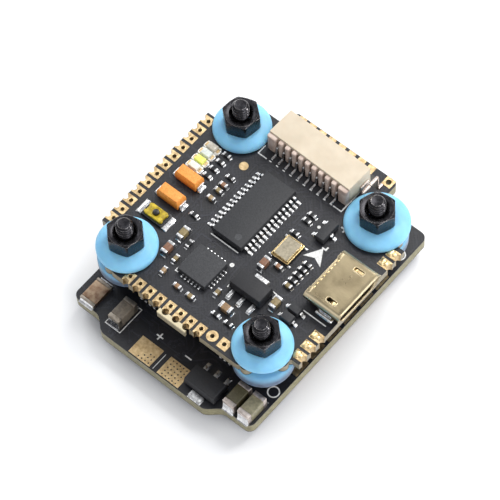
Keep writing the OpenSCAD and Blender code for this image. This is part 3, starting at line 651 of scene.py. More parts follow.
def lens_surface(name, dark, light, painted_glow):
    s = Surface(
        name, Transmission_Weight=0.0, Coat_Weight=0.6, Coat_Roughness=0.08, Subsurface_Weight=0.2,
        Subsurface_Radius=(0.0003, 0.0003, 0.0002), Subsurface_Scale=1.0
    )
    s.colour(s.ramp(s.noise(4.0, 4.0), [(0.3, dark), (0.7, light)])).rough(0.15, 0.3).bump(0.004, 6.0)
    # painted glow: the lens gets a faint emission, though the LED is unlit
    s.shader.inputs["Emission Color"].default_value = light
    s.shader.inputs["Emission Strength"].default_value = painted_glow
    return s.material


silicone = silicone_surface()
usb_steel = steel_shell_surface()
orange = orange_surface()
crystal_lid = lid_surface()
lenses = [
    lens_surface("lens_clear", srgb(198, 205, 198), srgb(228, 232, 224), 0.0),
    # painted glow on the lime lens
    lens_surface("lens_lime", srgb(206, 214, 84), srgb(232, 238, 130), 0.05),
    lens_surface("lens_milk", srgb(206, 208, 196), srgb(232, 234, 222), 0.0),
    lens_surface("lens_beige", srgb(182, 174, 158), srgb(206, 198, 182), 0.0),
]


# ---- screws, nuts and grommets ----

def hex_radius(angle, apothem, turn):
    sector = math.radians(60)
    off = (angle - turn + sector / 2) % sector - sector / 2
    return apothem / math.cos(off)


def polar_ring(x, y, z, radius_at, count):
    ring = []
    for i in range(count):
        a = math.tau * i / count
        r = radius_at(a)
        ring.append((x + r * math.cos(a), y + r * math.sin(a), z))
    return ring


def screw(form, x, y, head_r, thread_z, top):
    """Button-head screw with a rolled thread on its free end."""
    count, pitch, rows_per_turn = 32, 0.48, 4
    major, root, flank = 1.0, 0.78, 0.07
    socket, socket_top = 0.75, 0.9
    point = 0.72

    def circle(r, z):
        return round_ring(x, y, r, z, count)

    def hexagon(apothem, z):
        return polar_ring(x, y, z, lambda a: hex_radius(a, apothem, 0), count)

    rings = [hexagon(socket, socket_top), hexagon(socket, 0.06), hexagon(socket + 0.05, 0.0)]
    rings += [circle(head_r - r, z) for r, z in ((0.5, 0.0), (0.28, 0.05), (0.08, 0.25), (0, 0.6))]
    rings += [circle(head_r, ESC_BOTTOM - 0.06), circle(head_r - 0.06, ESC_BOTTOM)]
    rings += [circle(0.88, ESC_BOTTOM), circle(root, thread_z)]
    form.loft(rings, caps=False)
    form.loft([circle(0.002, socket_top - 0.04), rings[0]], caps=False)
    depth = [major, major - flank, root, major - flank]
    turns = math.ceil((top - thread_z) / pitch) + 1
    points, faces = [], []
    rows = range(-rows_per_turn, turns * rows_per_turn + 1)
    for row in rows:
        for i in range(count + 1):
            a = math.tau * i / count
            z = thread_z + (row + rows_per_turn * i / count) * pitch / rows_per_turn
            z = min(max(z, thread_z), top)
            r = min(depth[row % rows_per_turn], root + 0.6 * (z - thread_z), point + (top - z))
            points.append((x + r * math.cos(a), y + r * math.sin(a), z))
    for k in range(len(rows) - 1):
        for i in range(count):
            a = k * (count + 1) + i
            faces.append([a, a + 1, a + count + 2, a + count + 1])
    form.add(points, faces)
    end = ((point, 0.0), (0.62, 0.01), (0.4, 0.035), (0.002, 0.05))
    form.loft([circle(r, top - d) for r, d in end], caps=False)


def stack_screws():
    form = Form()
    head = solids("stack_screws")[0]
    nut_top = node_box("upper_nuts").hi.z
    for x, y in HOLES:
        screw(form, x, y, head.size.x / 2, nut_top - 0.9, head.hi.z)
    form.piece("threaded_screws", ESC, [black_steel], "black_steel", ["stack_screws"], 32, True)


def nut_turn(node, x, y):
    """Angle of one corner of the nut round (x, y), read from its mesh."""
    corner = max(
        (
            v.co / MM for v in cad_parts[node].data.vertices
            if (Vector((v.co.x / MM - x, v.co.y / MM - y))).length < 3
        ),
        key=lambda p: round(math.hypot(p.x - x, p.y - y), 4),
    )
    return math.atan2(corner.y - y, corner.x - x) - math.radians(30)


def nuts(node, name):
    """Hexagon nuts with conical chamfers, dished and countersunk faces and softened corners."""
    form, count = Form(), 120
    box = node_box(node)
    apothem, bore, blunt_corner, cone_slope = 2.0, 1.03, 2.272, 1.5
    for x, y in HOLES:
        turn = nut_turn(node, x, y)
        rings = [round_ring(x, y, bore, z, count) for z in (box.lo.z + 0.45, box.hi.z - 0.55)]
        rings += [
            round_ring(x, y, r, box.hi.z - d, count)
            for r, d in ((bore + 0.12, 0.42), (1.34, 0.08), (1.42, 0.03), (1.5, 0.0))
        ]
        for side in (1, -1):
            steps = [0.0, 0.03, 0.07, 0.11, 0.15, 0.19, 0.24]
            for d in steps if side > 0 else steps[::-1]:
                z = box.hi.z - d if side > 0 else box.lo.z + d
                limit = min(apothem - 0.04 + cone_slope * d, blunt_corner)
                rings.append(
                    polar_ring(x, y, z, lambda a: min(hex_radius(a, apothem, turn), limit), count)
                )
        rings += [round_ring(x, y, r, box.lo.z + d, count) for r, d in ((1.4, 0.0), (1.3, 0.06))]
        form.loop(rings)
    form.piece(name, ESC, [black_steel], "black_steel", [node], 24)


def grommets():
    """Each silicone grommet in two halves, which meet inside the flight board's hole."""
    box = node_box("grommets")
    split = (FC_TOP + FC_BOTTOM) / 2
    bore, neck = 1.12, 1.94
    low, top = box.lo.z, box.hi.z
    rise, half_pattern = top - FC_TOP, 10
    # how far the tightened nut has spread each top flange
    spread = {(-1, -1): 0.0, (-1, 1): -0.13, (1, -1): -0.1, (1, 1): 0.24}
    rim = [
        (-0.3, 0.005), (-0.1, 0.05), (-0.02, 0.15), (0, 0.3), (-0.01, 0.42), (-0.06, 0.53), (-0.16, 0.63),
        (-0.33, 0.74), (-0.6, 0.84), (-0.95, 0.92), (-1.25, 0.97)
    ]
    foot = [
        (-0.7, 0.02), (-0.3, 0.1), (-0.1, 0.26), (-0.01, 0.5), (0, 0.9), (0, 1.7), (-0.05, 1.98),
        (-0.2, 2.14), (-0.4, 2.195)
    ]
    tops, feet = Form(), Form()
    for x, y in HOLES:
        corner = (round(x / half_pattern), round(y / half_pattern))
        flange = box.size.x / 2 - half_pattern + spread[corner]
        profile = [(bore, split), (neck, split), (neck, FC_TOP + 0.005)]
        profile += [(flange + r, FC_TOP + rise * z) for r, z in rim]
        profile += [(2.3, top - 0.008), (bore, top - 0.004)]
        revolve(tops, profile, x, y, 72)
        flange = box.size.x / 2 - half_pattern
        profile = [(bore, low + 0.004), (2.2, low + 0.004)] + [(flange + r, low + z) for r, z in foot]
        profile += [(neck, FC_BOTTOM - 0.005), (neck, split), (bore, split)]
        revolve(feet, profile, x, y, 72)
    for form, name, near, far, start, end in (
        (tops, "grommet_tops", FC, ESC, FC_TOP, top), (feet, "grommet_feet", ESC, FC, low, FC_BOTTOM)
    ):
        held = (near, far, (0, 0, start * MM), (0, 0, end * MM))
        form.piece(name, held, [silicone], "silicone_blue", ["grommets"], 60)


# ---- chips and small parts ----

def leaded_chip(
    body_node, lead_node, name, body, material, thick=0.15, up=1, draft=0.1, pad=0.16, dimple=None
):
    form, leads, joints = Form(), Form(), Form()
    bodies = solids(body_node)
    for box in bodies:
        moulded(form, box, draft)
        if dimple:
            form.tint = 1
            spot = Vector((box.mid.x + dimple[0], box.mid.y + dimple[1]))
            disc(form, spot.x, spot.y, dimple[2], box.hi.z - 0.004, 0.008)
            form.tint = 0
    form.piece(name, body, [material, laser], "chip_black", [body_node])
    for lead in solids(lead_node):
        gull(leads, joints, lead, away_from(lead, nearest(lead, bodies)), thick, up, pad)
    leads.piece(name + "_leads", body, [tin], "tin", [lead_node])
    joints.piece(name + "_solder", body, [solder], "tin")


def flat_leads(body_node, lead_node, name, body):
    """Regulator with a heat tab: flat leads in generous solder."""
    form, leads, joints = Form(), Form(), Form()
    bodies = solids(body_node)
    for box in bodies:
        moulded(form, box, 0.14, 0.05, 0.3)
    form.piece(name, body, [chip_dark], "chip_black", [body_node])
    for lead in solids(lead_node):
        away = away_from(lead, nearest(lead, bodies))
        soft_box(leads, lead.lo, lead.hi, 0.05, 0.05, 0.01)
        length, width = across(lead, away)
        origin = lead.mid - away * (length / 2)
        near, far = (0.1 * length, -width / 2 - 0.08, 0.004), (length + 0.15, width / 2 + 0.08, 0.2)
        fillet(joints, (origin.x, origin.y, lead.lo.z), away, near, far, 0.05)
    leads.piece(name + "_leads", body, [tin], "tin", [lead_node])
    joints.piece(name + "_solder", body, [solder], "tin")


def leadless_chip(body_node, name, body, material, up=1):
    form = Form()
    for box in solids(body_node):
        soft_box(form, box.lo, box.hi, 0.03, 0.05, 0.01 if up > 0 else 0.03)
    form.piece(name, body, [material, laser], "chip_black", [body_node])


def gyro():
    form = Form()
    box = node_box("gyro_chip")
    soft_box(form, box.lo, box.hi, 0.04, 0.06, 0.01)
    form.tint = 1
    disc(form, box.hi.x - 0.6, box.hi.y - 0.6, 0.22, box.hi.z - 0.004, 0.007)
    form.piece("gyro_body", FC, [chip_grey, laser], "chip_black", ["gyro_chip"])
    pads, side = Form(), Form()
    for pad in solids("gyro_pads"):
        away = away_from(pad, box)
        blob(pads, pad.lo - away * 0.03, pad.hi + Vector((abs(away.x), abs(away.y), 0)) * 0.06, 0.06)
        x, y = pad.mid.x - away.x * 0.2, pad.mid.y - away.y * 0.2
        half = Vector((0.012, 0.1, 0)) if abs(away.x) > 0.5 else Vector((0.1, 0.012, 0))
        soft_box(side, Vector((x, y, box.lo.z)) - half, Vector((x, y, box.lo.z + 0.22)) + half, 0.005)
    pads.piece("gyro_solder", FC, [solder], "tin", ["gyro_pads"])
    side.piece("gyro_side_contacts", FC, [tin], "tin")


def two_ended(groups, end_node, name, body, slot="tin", end_material=None):
    """Chip parts with metal ends. groups lists (body node, piece name, material, slot, rounding)."""
    caps, joints = Form(), Form()
    ends, end_shades = solids(end_node), end_material or [tin]
    for node, piece_name, material, part_slot, edge in groups:
        form, shades = Form(), material if isinstance(material, list) else [material]
        for index, part in enumerate(solids(node)):
            form.tint = index % len(shades)
            soft_box(form, part.lo, part.hi, edge, edge, 0.01)
            pair = sorted(ends, key=lambda e: (e.mid - part.mid).length)[:2]
            caps.tint = index % len(end_shades)
            for end in pair:
                offset = end.mid - part.mid
                away = Vector((math.copysign(1, offset.x), 0, 0))
                if abs(offset.x) <= abs(offset.y):
                    away = Vector((0, math.copysign(1, offset.y), 0))
                terminal(caps, joints, end, away, 0.14 + 0.12 * across(end, away)[1])
        form.piece(piece_name, body, shades, part_slot, [node])
    caps.piece(name, body, end_shades, slot, [end_node])
    joints.piece(name + "_solder", body, [solder], "tin")


def diodes():
    """The two diodes share the tinned ends' node, so their leads are built with them."""
    form, leads, joints = Form(), Form(), Form()
    for box in solids("diodes"):
        moulded(form, box, 0.07, 0.04)
        for side in (-1, 1):
            away = Vector((side, 0, 0))
            centre = box.mid + away * (box.size.x / 2 + 0.25)
            lead = box_of([
                Vector((centre.x - 0.25, centre.y - 0.2, FC_TOP)),
                Vector((centre.x + 0.25, centre.y + 0.2, FC_TOP + 0.47)),
            ])
            gull(leads, joints, lead, away, 0.12, 1, 0.1)
    form.piece("diode_bodies", FC, [chip_black], "chip_black", ["diodes"])
    leads.piece("diode_leads", FC, [tin], "tin")
    joints.piece("diode_solder", FC, [solder], "tin")


def tantalums():
    form, ends, joints = Form(), Form(), Form()
    for box in solids("tantalum_capacitors"):
        lo, hi = box.lo, box.hi
        levels = [
            (lo.z, 0.1), (lo.z + 0.05, 0.04), (lo.z + 0.55, 0.0), (lo.z + 0.6, 0.0), (hi.z - 0.32, 0.03),
            (hi.z - 0.06, 0.17), (hi.z - 0.015, 0.2), (hi.z, 0.25),
        ]
        form.loft([rect_ring(lo, hi, z, inset, 0.07) for z, inset in levels])
        for side in (-1, 1):
            tip = box.mid.x + side * box.size.x / 2
            inner, outer = sorted((tip - side * 0.12, tip + side * 0.16))
            soft_box(
                ends, (inner, box.mid.y - 0.58, FC_TOP), (outer, box.mid.y + 0.58, FC_TOP + 0.72), 0.05,
                0.05
            )
            origin = (tip + side * 0.1, box.mid.y, FC_TOP)
            fillet(joints, origin, Vector((side, 0, 0)), (-0.1, -0.66, 0.0), (0.46, 0.66, 0.3), 0.12)
    form.piece("tantalum_cases", FC, [orange], "tantalum_orange", ["tantalum_capacitors"], 28)
    ends.piece("tantalum_terminals", FC, [tin], "tin", ["tantalum_ends"])
    joints.piece("tantalum_solder", FC, [solder], "tin")


def leds():
    base, lens, joints = Form(), Form(), Form()
    for box in solids("led_bases"):
        soft_box(base, box.lo, (box.hi.x, box.hi.y, box.hi.z - 0.02), 0.02, 0.03, 0.01)
        for side in (-1, 1):
            tip = box.mid.x + side * box.size.x / 2
            inner, outer = sorted((tip, tip - side * 0.3))
            base.tint = 1
            soft_box(
                base, (inner, box.mid.y - 0.28, box.hi.z - 0.03),
                (outer, box.mid.y + 0.28, box.hi.z + 0.01), 0.01
            )
            base.tint = 0
            origin = (tip, box.mid.y, FC_TOP)
            fillet(joints, origin, Vector((side, 0, 0)), (-0.05, -0.38, 0.0), (0.16, 0.38, 0.12), 0.05)
    for index, box in enumerate(solids("led_lenses")):
        lens.tint = index
        lo, hi = box.lo, box.hi
        levels = [(lo.z, 0.0), (lo.z + 0.04, 0.0), (hi.z - 0.06, 0.05), (hi.z - 0.02, 0.08), (hi.z, 0.13)]
        lens.loft([rect_ring(lo, hi, z, inset, 0.05) for z, inset in levels])
    base.piece("led_carriers", FC, [led_white, gold], "led_white", ["led_bases"])
    lens.piece("led_windows", FC, [lenses[2], lenses[1], lenses[0], lenses[3]], "led_lens", ["led_lenses"])
    joints.piece("led_solder", FC, [solder], "tin")


def crystal():
    form, lid, joints = Form(), Form(), Form()
    base, top = node_box("crystal_base"), node_box("crystal_lid")
    soft_box(form, base.lo, (base.hi.x, base.hi.y, base.hi.z - 0.12), 0.02, 0.12, 0.01)
    form.tint = 1
    soft_box(
        form, (base.lo.x + 0.02, base.lo.y + 0.02, base.hi.z - 0.12),
        (base.hi.x - 0.02, base.hi.y - 0.02, base.hi.z + 0.02), 0.05, 0.16, 0.01
    )
    lo, hi = top.lo, top.hi
    levels = [
        (lo.z, 0.0), (lo.z + 0.05, 0.0), (lo.z + 0.12, 0.03), (hi.z - 0.05, 0.08), (hi.z - 0.01, 0.12),
        (hi.z, 0.17)
    ]
    rings = [rect_ring(lo, hi, z, inset, 0.24, 5) for z, inset in levels]
    lid.loft(rings)
    lid.tint = 1
    lid.loft([rect_ring(lo, hi, z, 0.17, 0.2, 5) for z in (hi.z - 0.04, hi.z + 0.006)])
    form.piece("crystal_package", FC, [chip_dark, crystal_gold], "crystal_gold", ["crystal_base"])
    lid.piece("crystal_cap", FC, [crystal_gold, crystal_lid], "crystal_lid", ["crystal_lid"])
    for sx in (-1, 1):
        for sy in (-1, 1):
            x, y = base.mid.x + sx * (base.size.x / 2 - 0.25), base.mid.y + sy * (base.size.y / 2 - 0.3)
            blob(
                joints, (min(x, x + sx * 0.62), min(y, y + sy * 0.35), FC_TOP),
                (max(x, x + sx * 0.62), max(y, y + sy * 0.35), FC_TOP + 0.2), 0.06
            )
    joints.piece("crystal_solder", FC, [solder], "tin")


def boot_switch():
    base, ends, cover, pin = Form(), Form(), Form(), Form()
    box, cap, plunger = node_box("boot_switch_base"), node_box("boot_switch_cover"), node_box("boot_plunger")
    x, y = box.mid.x, box.mid.y
    hole, well = 0.42, 0.76

    def plate_ring(lo, hi, z, inset, r):
        """Rounded outline whose straight sides are cut up too, so that a round hole can match it."""
        corners, ring = rect_ring(lo, hi, z, inset, r, 3), []
        for p, q in zip(corners, corners[1:] + corners[:1]):
            steps = 6 if math.dist(p, q) > 0.5 else 1
            ring += [tuple(a + (b - a) * i / steps for a, b in zip(p, q)) for i in range(steps)]
        return ring

    def matching(ring, r, z):
        """Circle whose points lie at the same angles as a ring's."""
        found = []
        for p in ring:
            a = math.atan2(p[1] - y, p[0] - x)
            found.append((x + r * math.cos(a), y + r * math.sin(a), z))
        return found

    outer = plate_ring(box.lo, box.hi, box.lo.z, 0.0, 0.1)
    floor_z = box.lo.z + 0.12
    base.loft([
        outer, plate_ring(box.lo, box.hi, box.hi.z - 0.03, 0.0, 0.1),
        plate_ring(box.lo, box.hi, box.hi.z, 0.03, 0.1),
        matching(outer, well, box.hi.z), matching(outer, well, floor_z),
    ])
    base.piece("switch_body", FC, [black_cap], "switch_black", ["boot_switch_base"])
    edge = plate_ring(cap.lo, cap.hi, cap.lo.z, 0.0, 0.14)
    top = cap.hi.z
    cover.loop([
        matching(edge, well, cap.lo.z), edge, plate_ring(cap.lo, cap.hi, top - 0.07, 0.0, 0.14),
        plate_ring(cap.lo, cap.hi, top - 0.02, 0.03, 0.14),
        plate_ring(cap.lo, cap.hi, top - 0.01, 0.08, 0.12), matching(edge, 0.66, top - 0.01),
        matching(edge, 0.6, top - 0.06), matching(edge, hole + 0.04, top - 0.06),
        matching(edge, hole, top - 0.08), matching(edge, hole, top - 0.12), matching(edge, well, top - 0.12),
    ])
    for side in (-1, 1):
        for sy in (-1, 1):
            tab_x, tab_y = cap.mid.x + side * (cap.size.x / 2 + 0.02), cap.mid.y + sy * 0.5
            soft_box(
                cover, (tab_x - 0.12, tab_y - 0.16, cap.lo.z - 0.25),
                (tab_x + 0.08, tab_y + 0.16, top - 0.06), 0.03
            )
    cover.piece("switch_cover", FC, [yellow_cap], "switch_yellow", ["boot_switch_cover"], 30)
    for end in solids("boot_switch_ends"):
        soft_box(ends, end.lo, end.hi, 0.05, 0.05, 0.01)
        origin = (end.mid.x, end.mid.y, end.lo.z)
        fillet(ends, origin, away_from(end, box), (-0.15, -1.0, 0.0), (0.5, 1.0, 0.17), 0.12)
    ends.piece("switch_terminals", FC, [solder], "tin", ["boot_switch_ends"])
    collar = 0.7
    profile = [
        (0.001, plunger.lo.z), (collar - 0.02, plunger.lo.z), (collar, plunger.lo.z + 0.02),
        (collar, plunger.lo.z + 0.1), (collar - 0.02, plunger.lo.z + 0.12),
        (0.38, plunger.lo.z + 0.12), (0.38, plunger.hi.z - 0.1), (0.36, plunger.hi.z - 0.04),
        (0.3, plunger.hi.z - 0.01), (0.001, plunger.hi.z),
    ]
    revolve(pin, profile, x, y, 32, closed=False)
    pin.piece("switch_plunger", BUTTON, [black_cap], "switch_black", ["boot_plunger"], 30)


# ---- sockets ----

def usb_ring(x, grow, centre_y, sink=0.0):
    """Section of the micro USB shell in the YZ plane: flat roof, tapered lower corners."""
    half, high = 3.45 + grow, 2.0
    floor = FC_TOP + 0.25
    corner = 0.35 + grow
    taper = 0.75
    centres = [
        (half - corner, floor + high + grow - corner, -10, 90),
        (-(half - corner), floor + high + grow - corner, 90, 190),
        (-(half - taper - corner), floor - grow + corner, 215, 270),
        (half - taper - corner, floor - grow + corner, 270, 325),
    ]
    ring = []
    for cy, cz, start, end in centres:
        for i in range(7):
            a = math.radians(start + (end - start) * i / 6)
            z = cz + corner * math.sin(a)
            ring.append(
                (x - sink * max(0.0, floor + high - z) / high, centre_y + cy + corner * math.cos(a), z)
            )
    return ring


def usb_trough(x, grow, centre_y):
    """Section of the shell without its roof: from one roof edge down, across and up to the other."""
    ring = usb_ring(x, grow, centre_y)
    return ring[7:] + ring[:7]


def windowed_plate(form, lo, hi, z_low, z_high, centre, half_l, half_w):
    """Flat plate with a rounded slot through it."""
    corners = [
        math.atan2(y - centre[1], x - centre[0]) % math.tau for x in (lo[0], hi[0]) for y in (lo[1], hi[1])
    ]
    angles = sorted([math.tau * (i + 0.5) / 48 for i in range(48)] + corners)

    def border(z):
        ring = []
        for a in angles:
            dx, dy = math.cos(a), math.sin(a)
            reach_x = ((hi[0] if dx > 0 else lo[0]) - centre[0]) / dx
            reach_y = ((hi[1] if dy > 0 else lo[1]) - centre[1]) / dy
            ring.append((centre[0] + min(reach_x, reach_y) * dx, centre[1] + min(reach_x, reach_y) * dy, z))
        return ring

    def slot(grow, z, power=5):
        ring = []
        for a in angles:
            along, wide = abs(math.cos(a) / (half_l + grow)), abs(math.sin(a) / (half_w + grow))
            r = (along ** power + wide ** power) ** (-1 / power)
            ring.append((centre[0] + r * math.cos(a), centre[1] + r * math.sin(a), z))
        return ring

    form.loft([
        border(z_high), slot(0.1, z_high), slot(0.08, z_high + 0.025), slot(0.03, z_high + 0.02),
        slot(0, z_high - 0.04), slot(0, z_low), border(z_low),
    ], caps=False)


def usb_socket():
    shell_box = node_box("usb_shell")
    y, rear, mouth = shell_box.mid.y, shell_box.lo.x, shell_box.hi.x
    roof, wall_in, wall_out = FC_TOP + 2.5, 0.03, 0.25
    under, flat, lip_from, hook = FC_TOP + 2.25 + wall_in, 3.1, mouth - 0.6, 0.45
    window_x, window_y = rear + 3.1, 2.4
    form = Form()
    profile = [
        (lip_from, wall_in), (rear + 0.03, wall_in), (rear, 0.08), (rear, 0.17), (rear + 0.05, 0.23),
        (rear + 0.12, wall_out), (lip_from, wall_out)
    ]
    form.sheet([usb_trough(x, grow, y) for x, grow in profile])
    outer = [
        (lip_from, wall_out), (mouth - 0.3, 0.26), (mouth - 0.15, 0.29), (mouth - 0.05, 0.33),
        (mouth - 0.01, 0.33)
    ]
    inner = [
        (mouth, 0.28), (mouth - 0.05, 0.16), (mouth - 0.15, 0.08), (mouth - 0.35, wall_in),
        (lip_from, wall_in)
    ]
    form.loft([usb_ring(x, grow, y, 0.3 * (x - lip_from) / 0.6) for x, grow in outer + inner], caps=False)
    for side in (-1, 1):
        lo_y, hi_y = sorted((y, y + side * flat))
        windowed_plate(
            form, (rear + hook, lo_y), (lip_from, hi_y), under, roof, (window_x, y + side * window_y), 0.62,
            0.24
        )
        near, far = sorted((y + side * 2.3, y + side * flat))
        soft_box(form, (rear + 0.02, near, under), (rear + hook + 0.02, far, roof), 0.04, 0.14, 0.01)
    soft_box(form, (rear + 0.02, y - flat, FC_TOP + 0.3), (rear + 0.24, y + flat, roof - 0.22), 0.06)
    soft_box(form, (rear + 0.2, y - 2.5, roof - 0.5), (rear + hook + 0.1, y + 2.5, roof - 0.26), 0.03)
    form.piece("usb_shell_folded", FC, [usb_steel], "usb_steel", ["usb_shell"], 30, True)

    trim = Form()
    springs = (
        [(0.66, -0.08), (0.3, -0.12), (0.0, -0.3), (-0.35, -0.55)],
        [(0.66, -0.06), (0.1, -0.1), (-0.3, -0.14), (-0.56, -0.24)]
    )
    for side, spring in zip((-1, 1), springs):
        at_y = y + side * window_y
        trim.place = Matrix.Translation((window_x, at_y, roof))
        trim.loft([[(p.x, s * 0.17, p.y) for p in band(rounded_path(spring, 0.3), 0.08)] for s in (1, -1)])
        trim.place = Matrix.Identity(4)
    # the roof's hem shows as a row of little folded teeth along the rear
    for k in range(8):
        tooth = y - 2.2 + k * 0.6
        soft_box(
            trim, (rear + hook - 0.08, tooth - 0.16, under), (rear + hook + 0.1, tooth + 0.16, roof + 0.02),
            0.03
        )
    # painted highlight: the springs and hem teeth take the brighter gold, a lit copy of the shell's steel
    trim.piece("usb_springs_and_tabs", FC, [bright_gold], "usb_steel", (), 30)

    tabs = Form()
    for side in (-1, 1):
        at_y = y + side * 3.0
        near, far = sorted((at_y, at_y + side * 0.3))
        soft_box(tabs, (rear + 1.9, near, FC_TOP + 0.02), (rear + 3.7, far, FC_TOP + 0.62), 0.08, 0.12)
        near, far = sorted((at_y, at_y + side * 0.72))
        blob(tabs, (rear + 1.6, near, FC_TOP), (rear + 4.0, far, FC_TOP + 0.26), 0.2)
    for i in range(-2, 3):
        blob(
            tabs, (rear - 0.45, y + i * 0.65 - 0.14, FC_TOP),
            (rear + 0.2, y + i * 0.65 + 0.14, FC_TOP + 0.14), 0.05
        )
    tabs.piece("usb_solder", FC, [solder], "tin")

    tongue = Form()
    inside = node_box("usb_insulator")
    soft_box(
        tongue, (inside.lo.x, inside.lo.y, inside.lo.z), (inside.lo.x + 1.3, inside.hi.y, inside.hi.z), 0.05
    )
    half = 1.85
    soft_box(
        tongue, (inside.lo.x + 1.2, y - half, FC_TOP + 1.15), (inside.hi.x, y + half, FC_TOP + 1.75), 0.1,
        0.2
    )
    tongue.piece("usb_tongue", FC, [black_cap], "housing_dark", ["usb_insulator"])


def pin_socket(name, housing_node, pin_node, body, material, ribs_material, slot, up=1, mouth=1, twist=0.0):
    """Side-entry socket: hollow housing, a comb of rounded ribs at its rear, bent tails and blades.
    twist is the angle by which it floated round on its solder."""
    form, pins, joints = Form(), Form(), Form()
    box = node_box(housing_node)
    count = round(box.size.x - 3) + 1
    flip = Matrix.Translation(
        (box.mid.x, box.lo.y if mouth > 0 else box.hi.y, box.lo.z if up > 0 else box.hi.z)
    )
    form.place = flip @ Matrix.Diagonal((1, mouth, up, 1))
    w, d, h = box.size.x / 2, box.size.y, box.size.z
    rib_depth = 0.55

    def wall_ring(y, inset_x, z0, z1, r=0.08):
        flat = rect_ring((-w + inset_x, z0), (w - inset_x, z1), 0, 0.0, r)
        return [(p[0], y, p[1]) for p in flat]

    form.loft([
        wall_ring(rib_depth, 0.05, 0.03, h - 0.06), wall_ring(rib_depth + 0.06, 0.0, 0.0, h),
        wall_ring(d - 0.04, 0.0, 0.0, h), wall_ring(d, 0.04, 0.04, h - 0.04),
        wall_ring(d, 0.86, 0.41, 2.39), wall_ring(d - 0.06, 0.9, 0.45, 2.35),
        wall_ring(d - 3.1, 0.9, 0.45, 2.35),
    ])
    form.tint = 1
    for i in range(count + 1):
        x, wide = i - count / 2, 0.31
        lo_x = -w + 0.02 if i == 0 else x - wide
        hi_x = w - 0.02 if i == count else x + wide
        soft_box(form, (lo_x, 0.0, 0.0), (hi_x, rib_depth + 0.2, h - 0.2), 0.12, 0.22, 0.02)
    form.tint = 0
    for pin in solids(pin_node):
        if pin.size.z < 0.3:
            soft_box(pins, pin.lo, pin.hi, 0.03)
            continue
        thin = 0.05
        pin = box_of([pin.lo + Vector((thin, 0, 0)), pin.hi - Vector((thin, 0, 0))])
        gull(pins, joints, pin, Vector((0, -mouth, 0)), 0.14, up, 0.06)
    spin = Matrix.Rotation(math.radians(twist), 4, "Z")
    turned = Matrix.Translation(box.mid) @ spin @ Matrix.Translation(-box.mid)
    for part in (form, pins, joints):
        part.points = [turned @ point for point in part.points]
    form.piece(name + "_housing", body, [material, ribs_material], slot, [housing_node], 34)
    pins.piece(name + "_pins", body, [tin], "tin", [pin_node])
    joints.piece(name + "_solder", body, [solder], "tin")


def socket_end_frames():
    """Tinned hold-downs that frame both ends of the speed controller's socket."""
    form, box = Form(), node_box("esc_socket")
    for side in (-1, 1):
        x = box.mid.x + side * box.size.x / 2
        lo_x, hi_x = sorted((x - side * 0.3, x + side * 0.06))
        for lo_y, hi_y in ((box.lo.y + 0.7, box.lo.y + 0.95), (box.hi.y + 0.02, box.hi.y + 0.24)):
            soft_box(form, (lo_x, lo_y, ESC_TOP + 0.02), (hi_x, hi_y, box.hi.z + 0.02), 0.05)
        soft_box(
            form, (lo_x, box.lo.y + 0.75, box.hi.z - 0.2), (hi_x, box.hi.y + 0.22, box.hi.z + 0.03), 0.05
        )
        soft_box(form, (lo_x, box.hi.y + 0.1, ESC_TOP + 0.03), (hi_x, box.hi.y + 1.05, ESC_TOP + 0.27), 0.05)
    form.piece("esc_socket_frames", ESC, [frosted_tin], "tin")


def socket_tabs():
    form = Form()
    for tab in solids("plug_socket_tabs"):
        soft_box(form, tab.lo, tab.hi, 0.05)
        away = Vector((math.copysign(1, tab.mid.x - node_box("plug_socket").mid.x), 0, 0))
        origin = (tab.mid.x, tab.mid.y, tab.lo.z)
        fillet(form, origin, away, (-0.1, -0.75, 0.0), (0.4, 0.75, 0.2), 0.1)
    form.piece("plug_socket_anchors", FC, [frosted_tin], "tin", ["plug_socket_tabs"])


# ---- boards: pads, print, traces ----

TRACE_THICK = 0.014  # copper that shows through the mask
PRINT_LIFT = TRACE_THICK  # so the white print lies on top of it


def edge_solder():
    """Gilt solder left on the contacts beside the USB socket, and rims round the plated holes."""
    blobs, rims = Form(), Form()
    for pad in solids("usb_side_pads"):
        for start, end, margin, high in ((0.02, 0.72, 0.06, 0.22), (0.5, 1.1, 0.26, 0.14)):
            lo = (pad.lo.x + start, pad.lo.y + margin, FC_TOP + 0.04)
            blob(blobs, lo, (pad.lo.x + end, pad.hi.y - margin, FC_TOP + high), 0.2)
    blobs.piece("edge_solder", FC, [bright_gold], "pad_gold", (), 70)
    z, hole_in, points = FC_TOP + 0.05, 0.87, 20
    rim = [(0.24, z - 0.3), (0.33, z - 0.01), (0.33, z + 0.012), (0.27, z + 0.02), (0.23, z - 0.01)]
    for pad in solids("side_pads"):
        revolve(rims, rim, pad.lo.x + hole_in, pad.mid.y, points)
    for pad in solids("rear_pads"):
        if pad.size.z > 1:
            revolve(rims, rim, pad.mid.x, pad.lo.y + hole_in, points)
    rims.piece("hole_rims", FC, [gold], "pad_gold", (), 40)


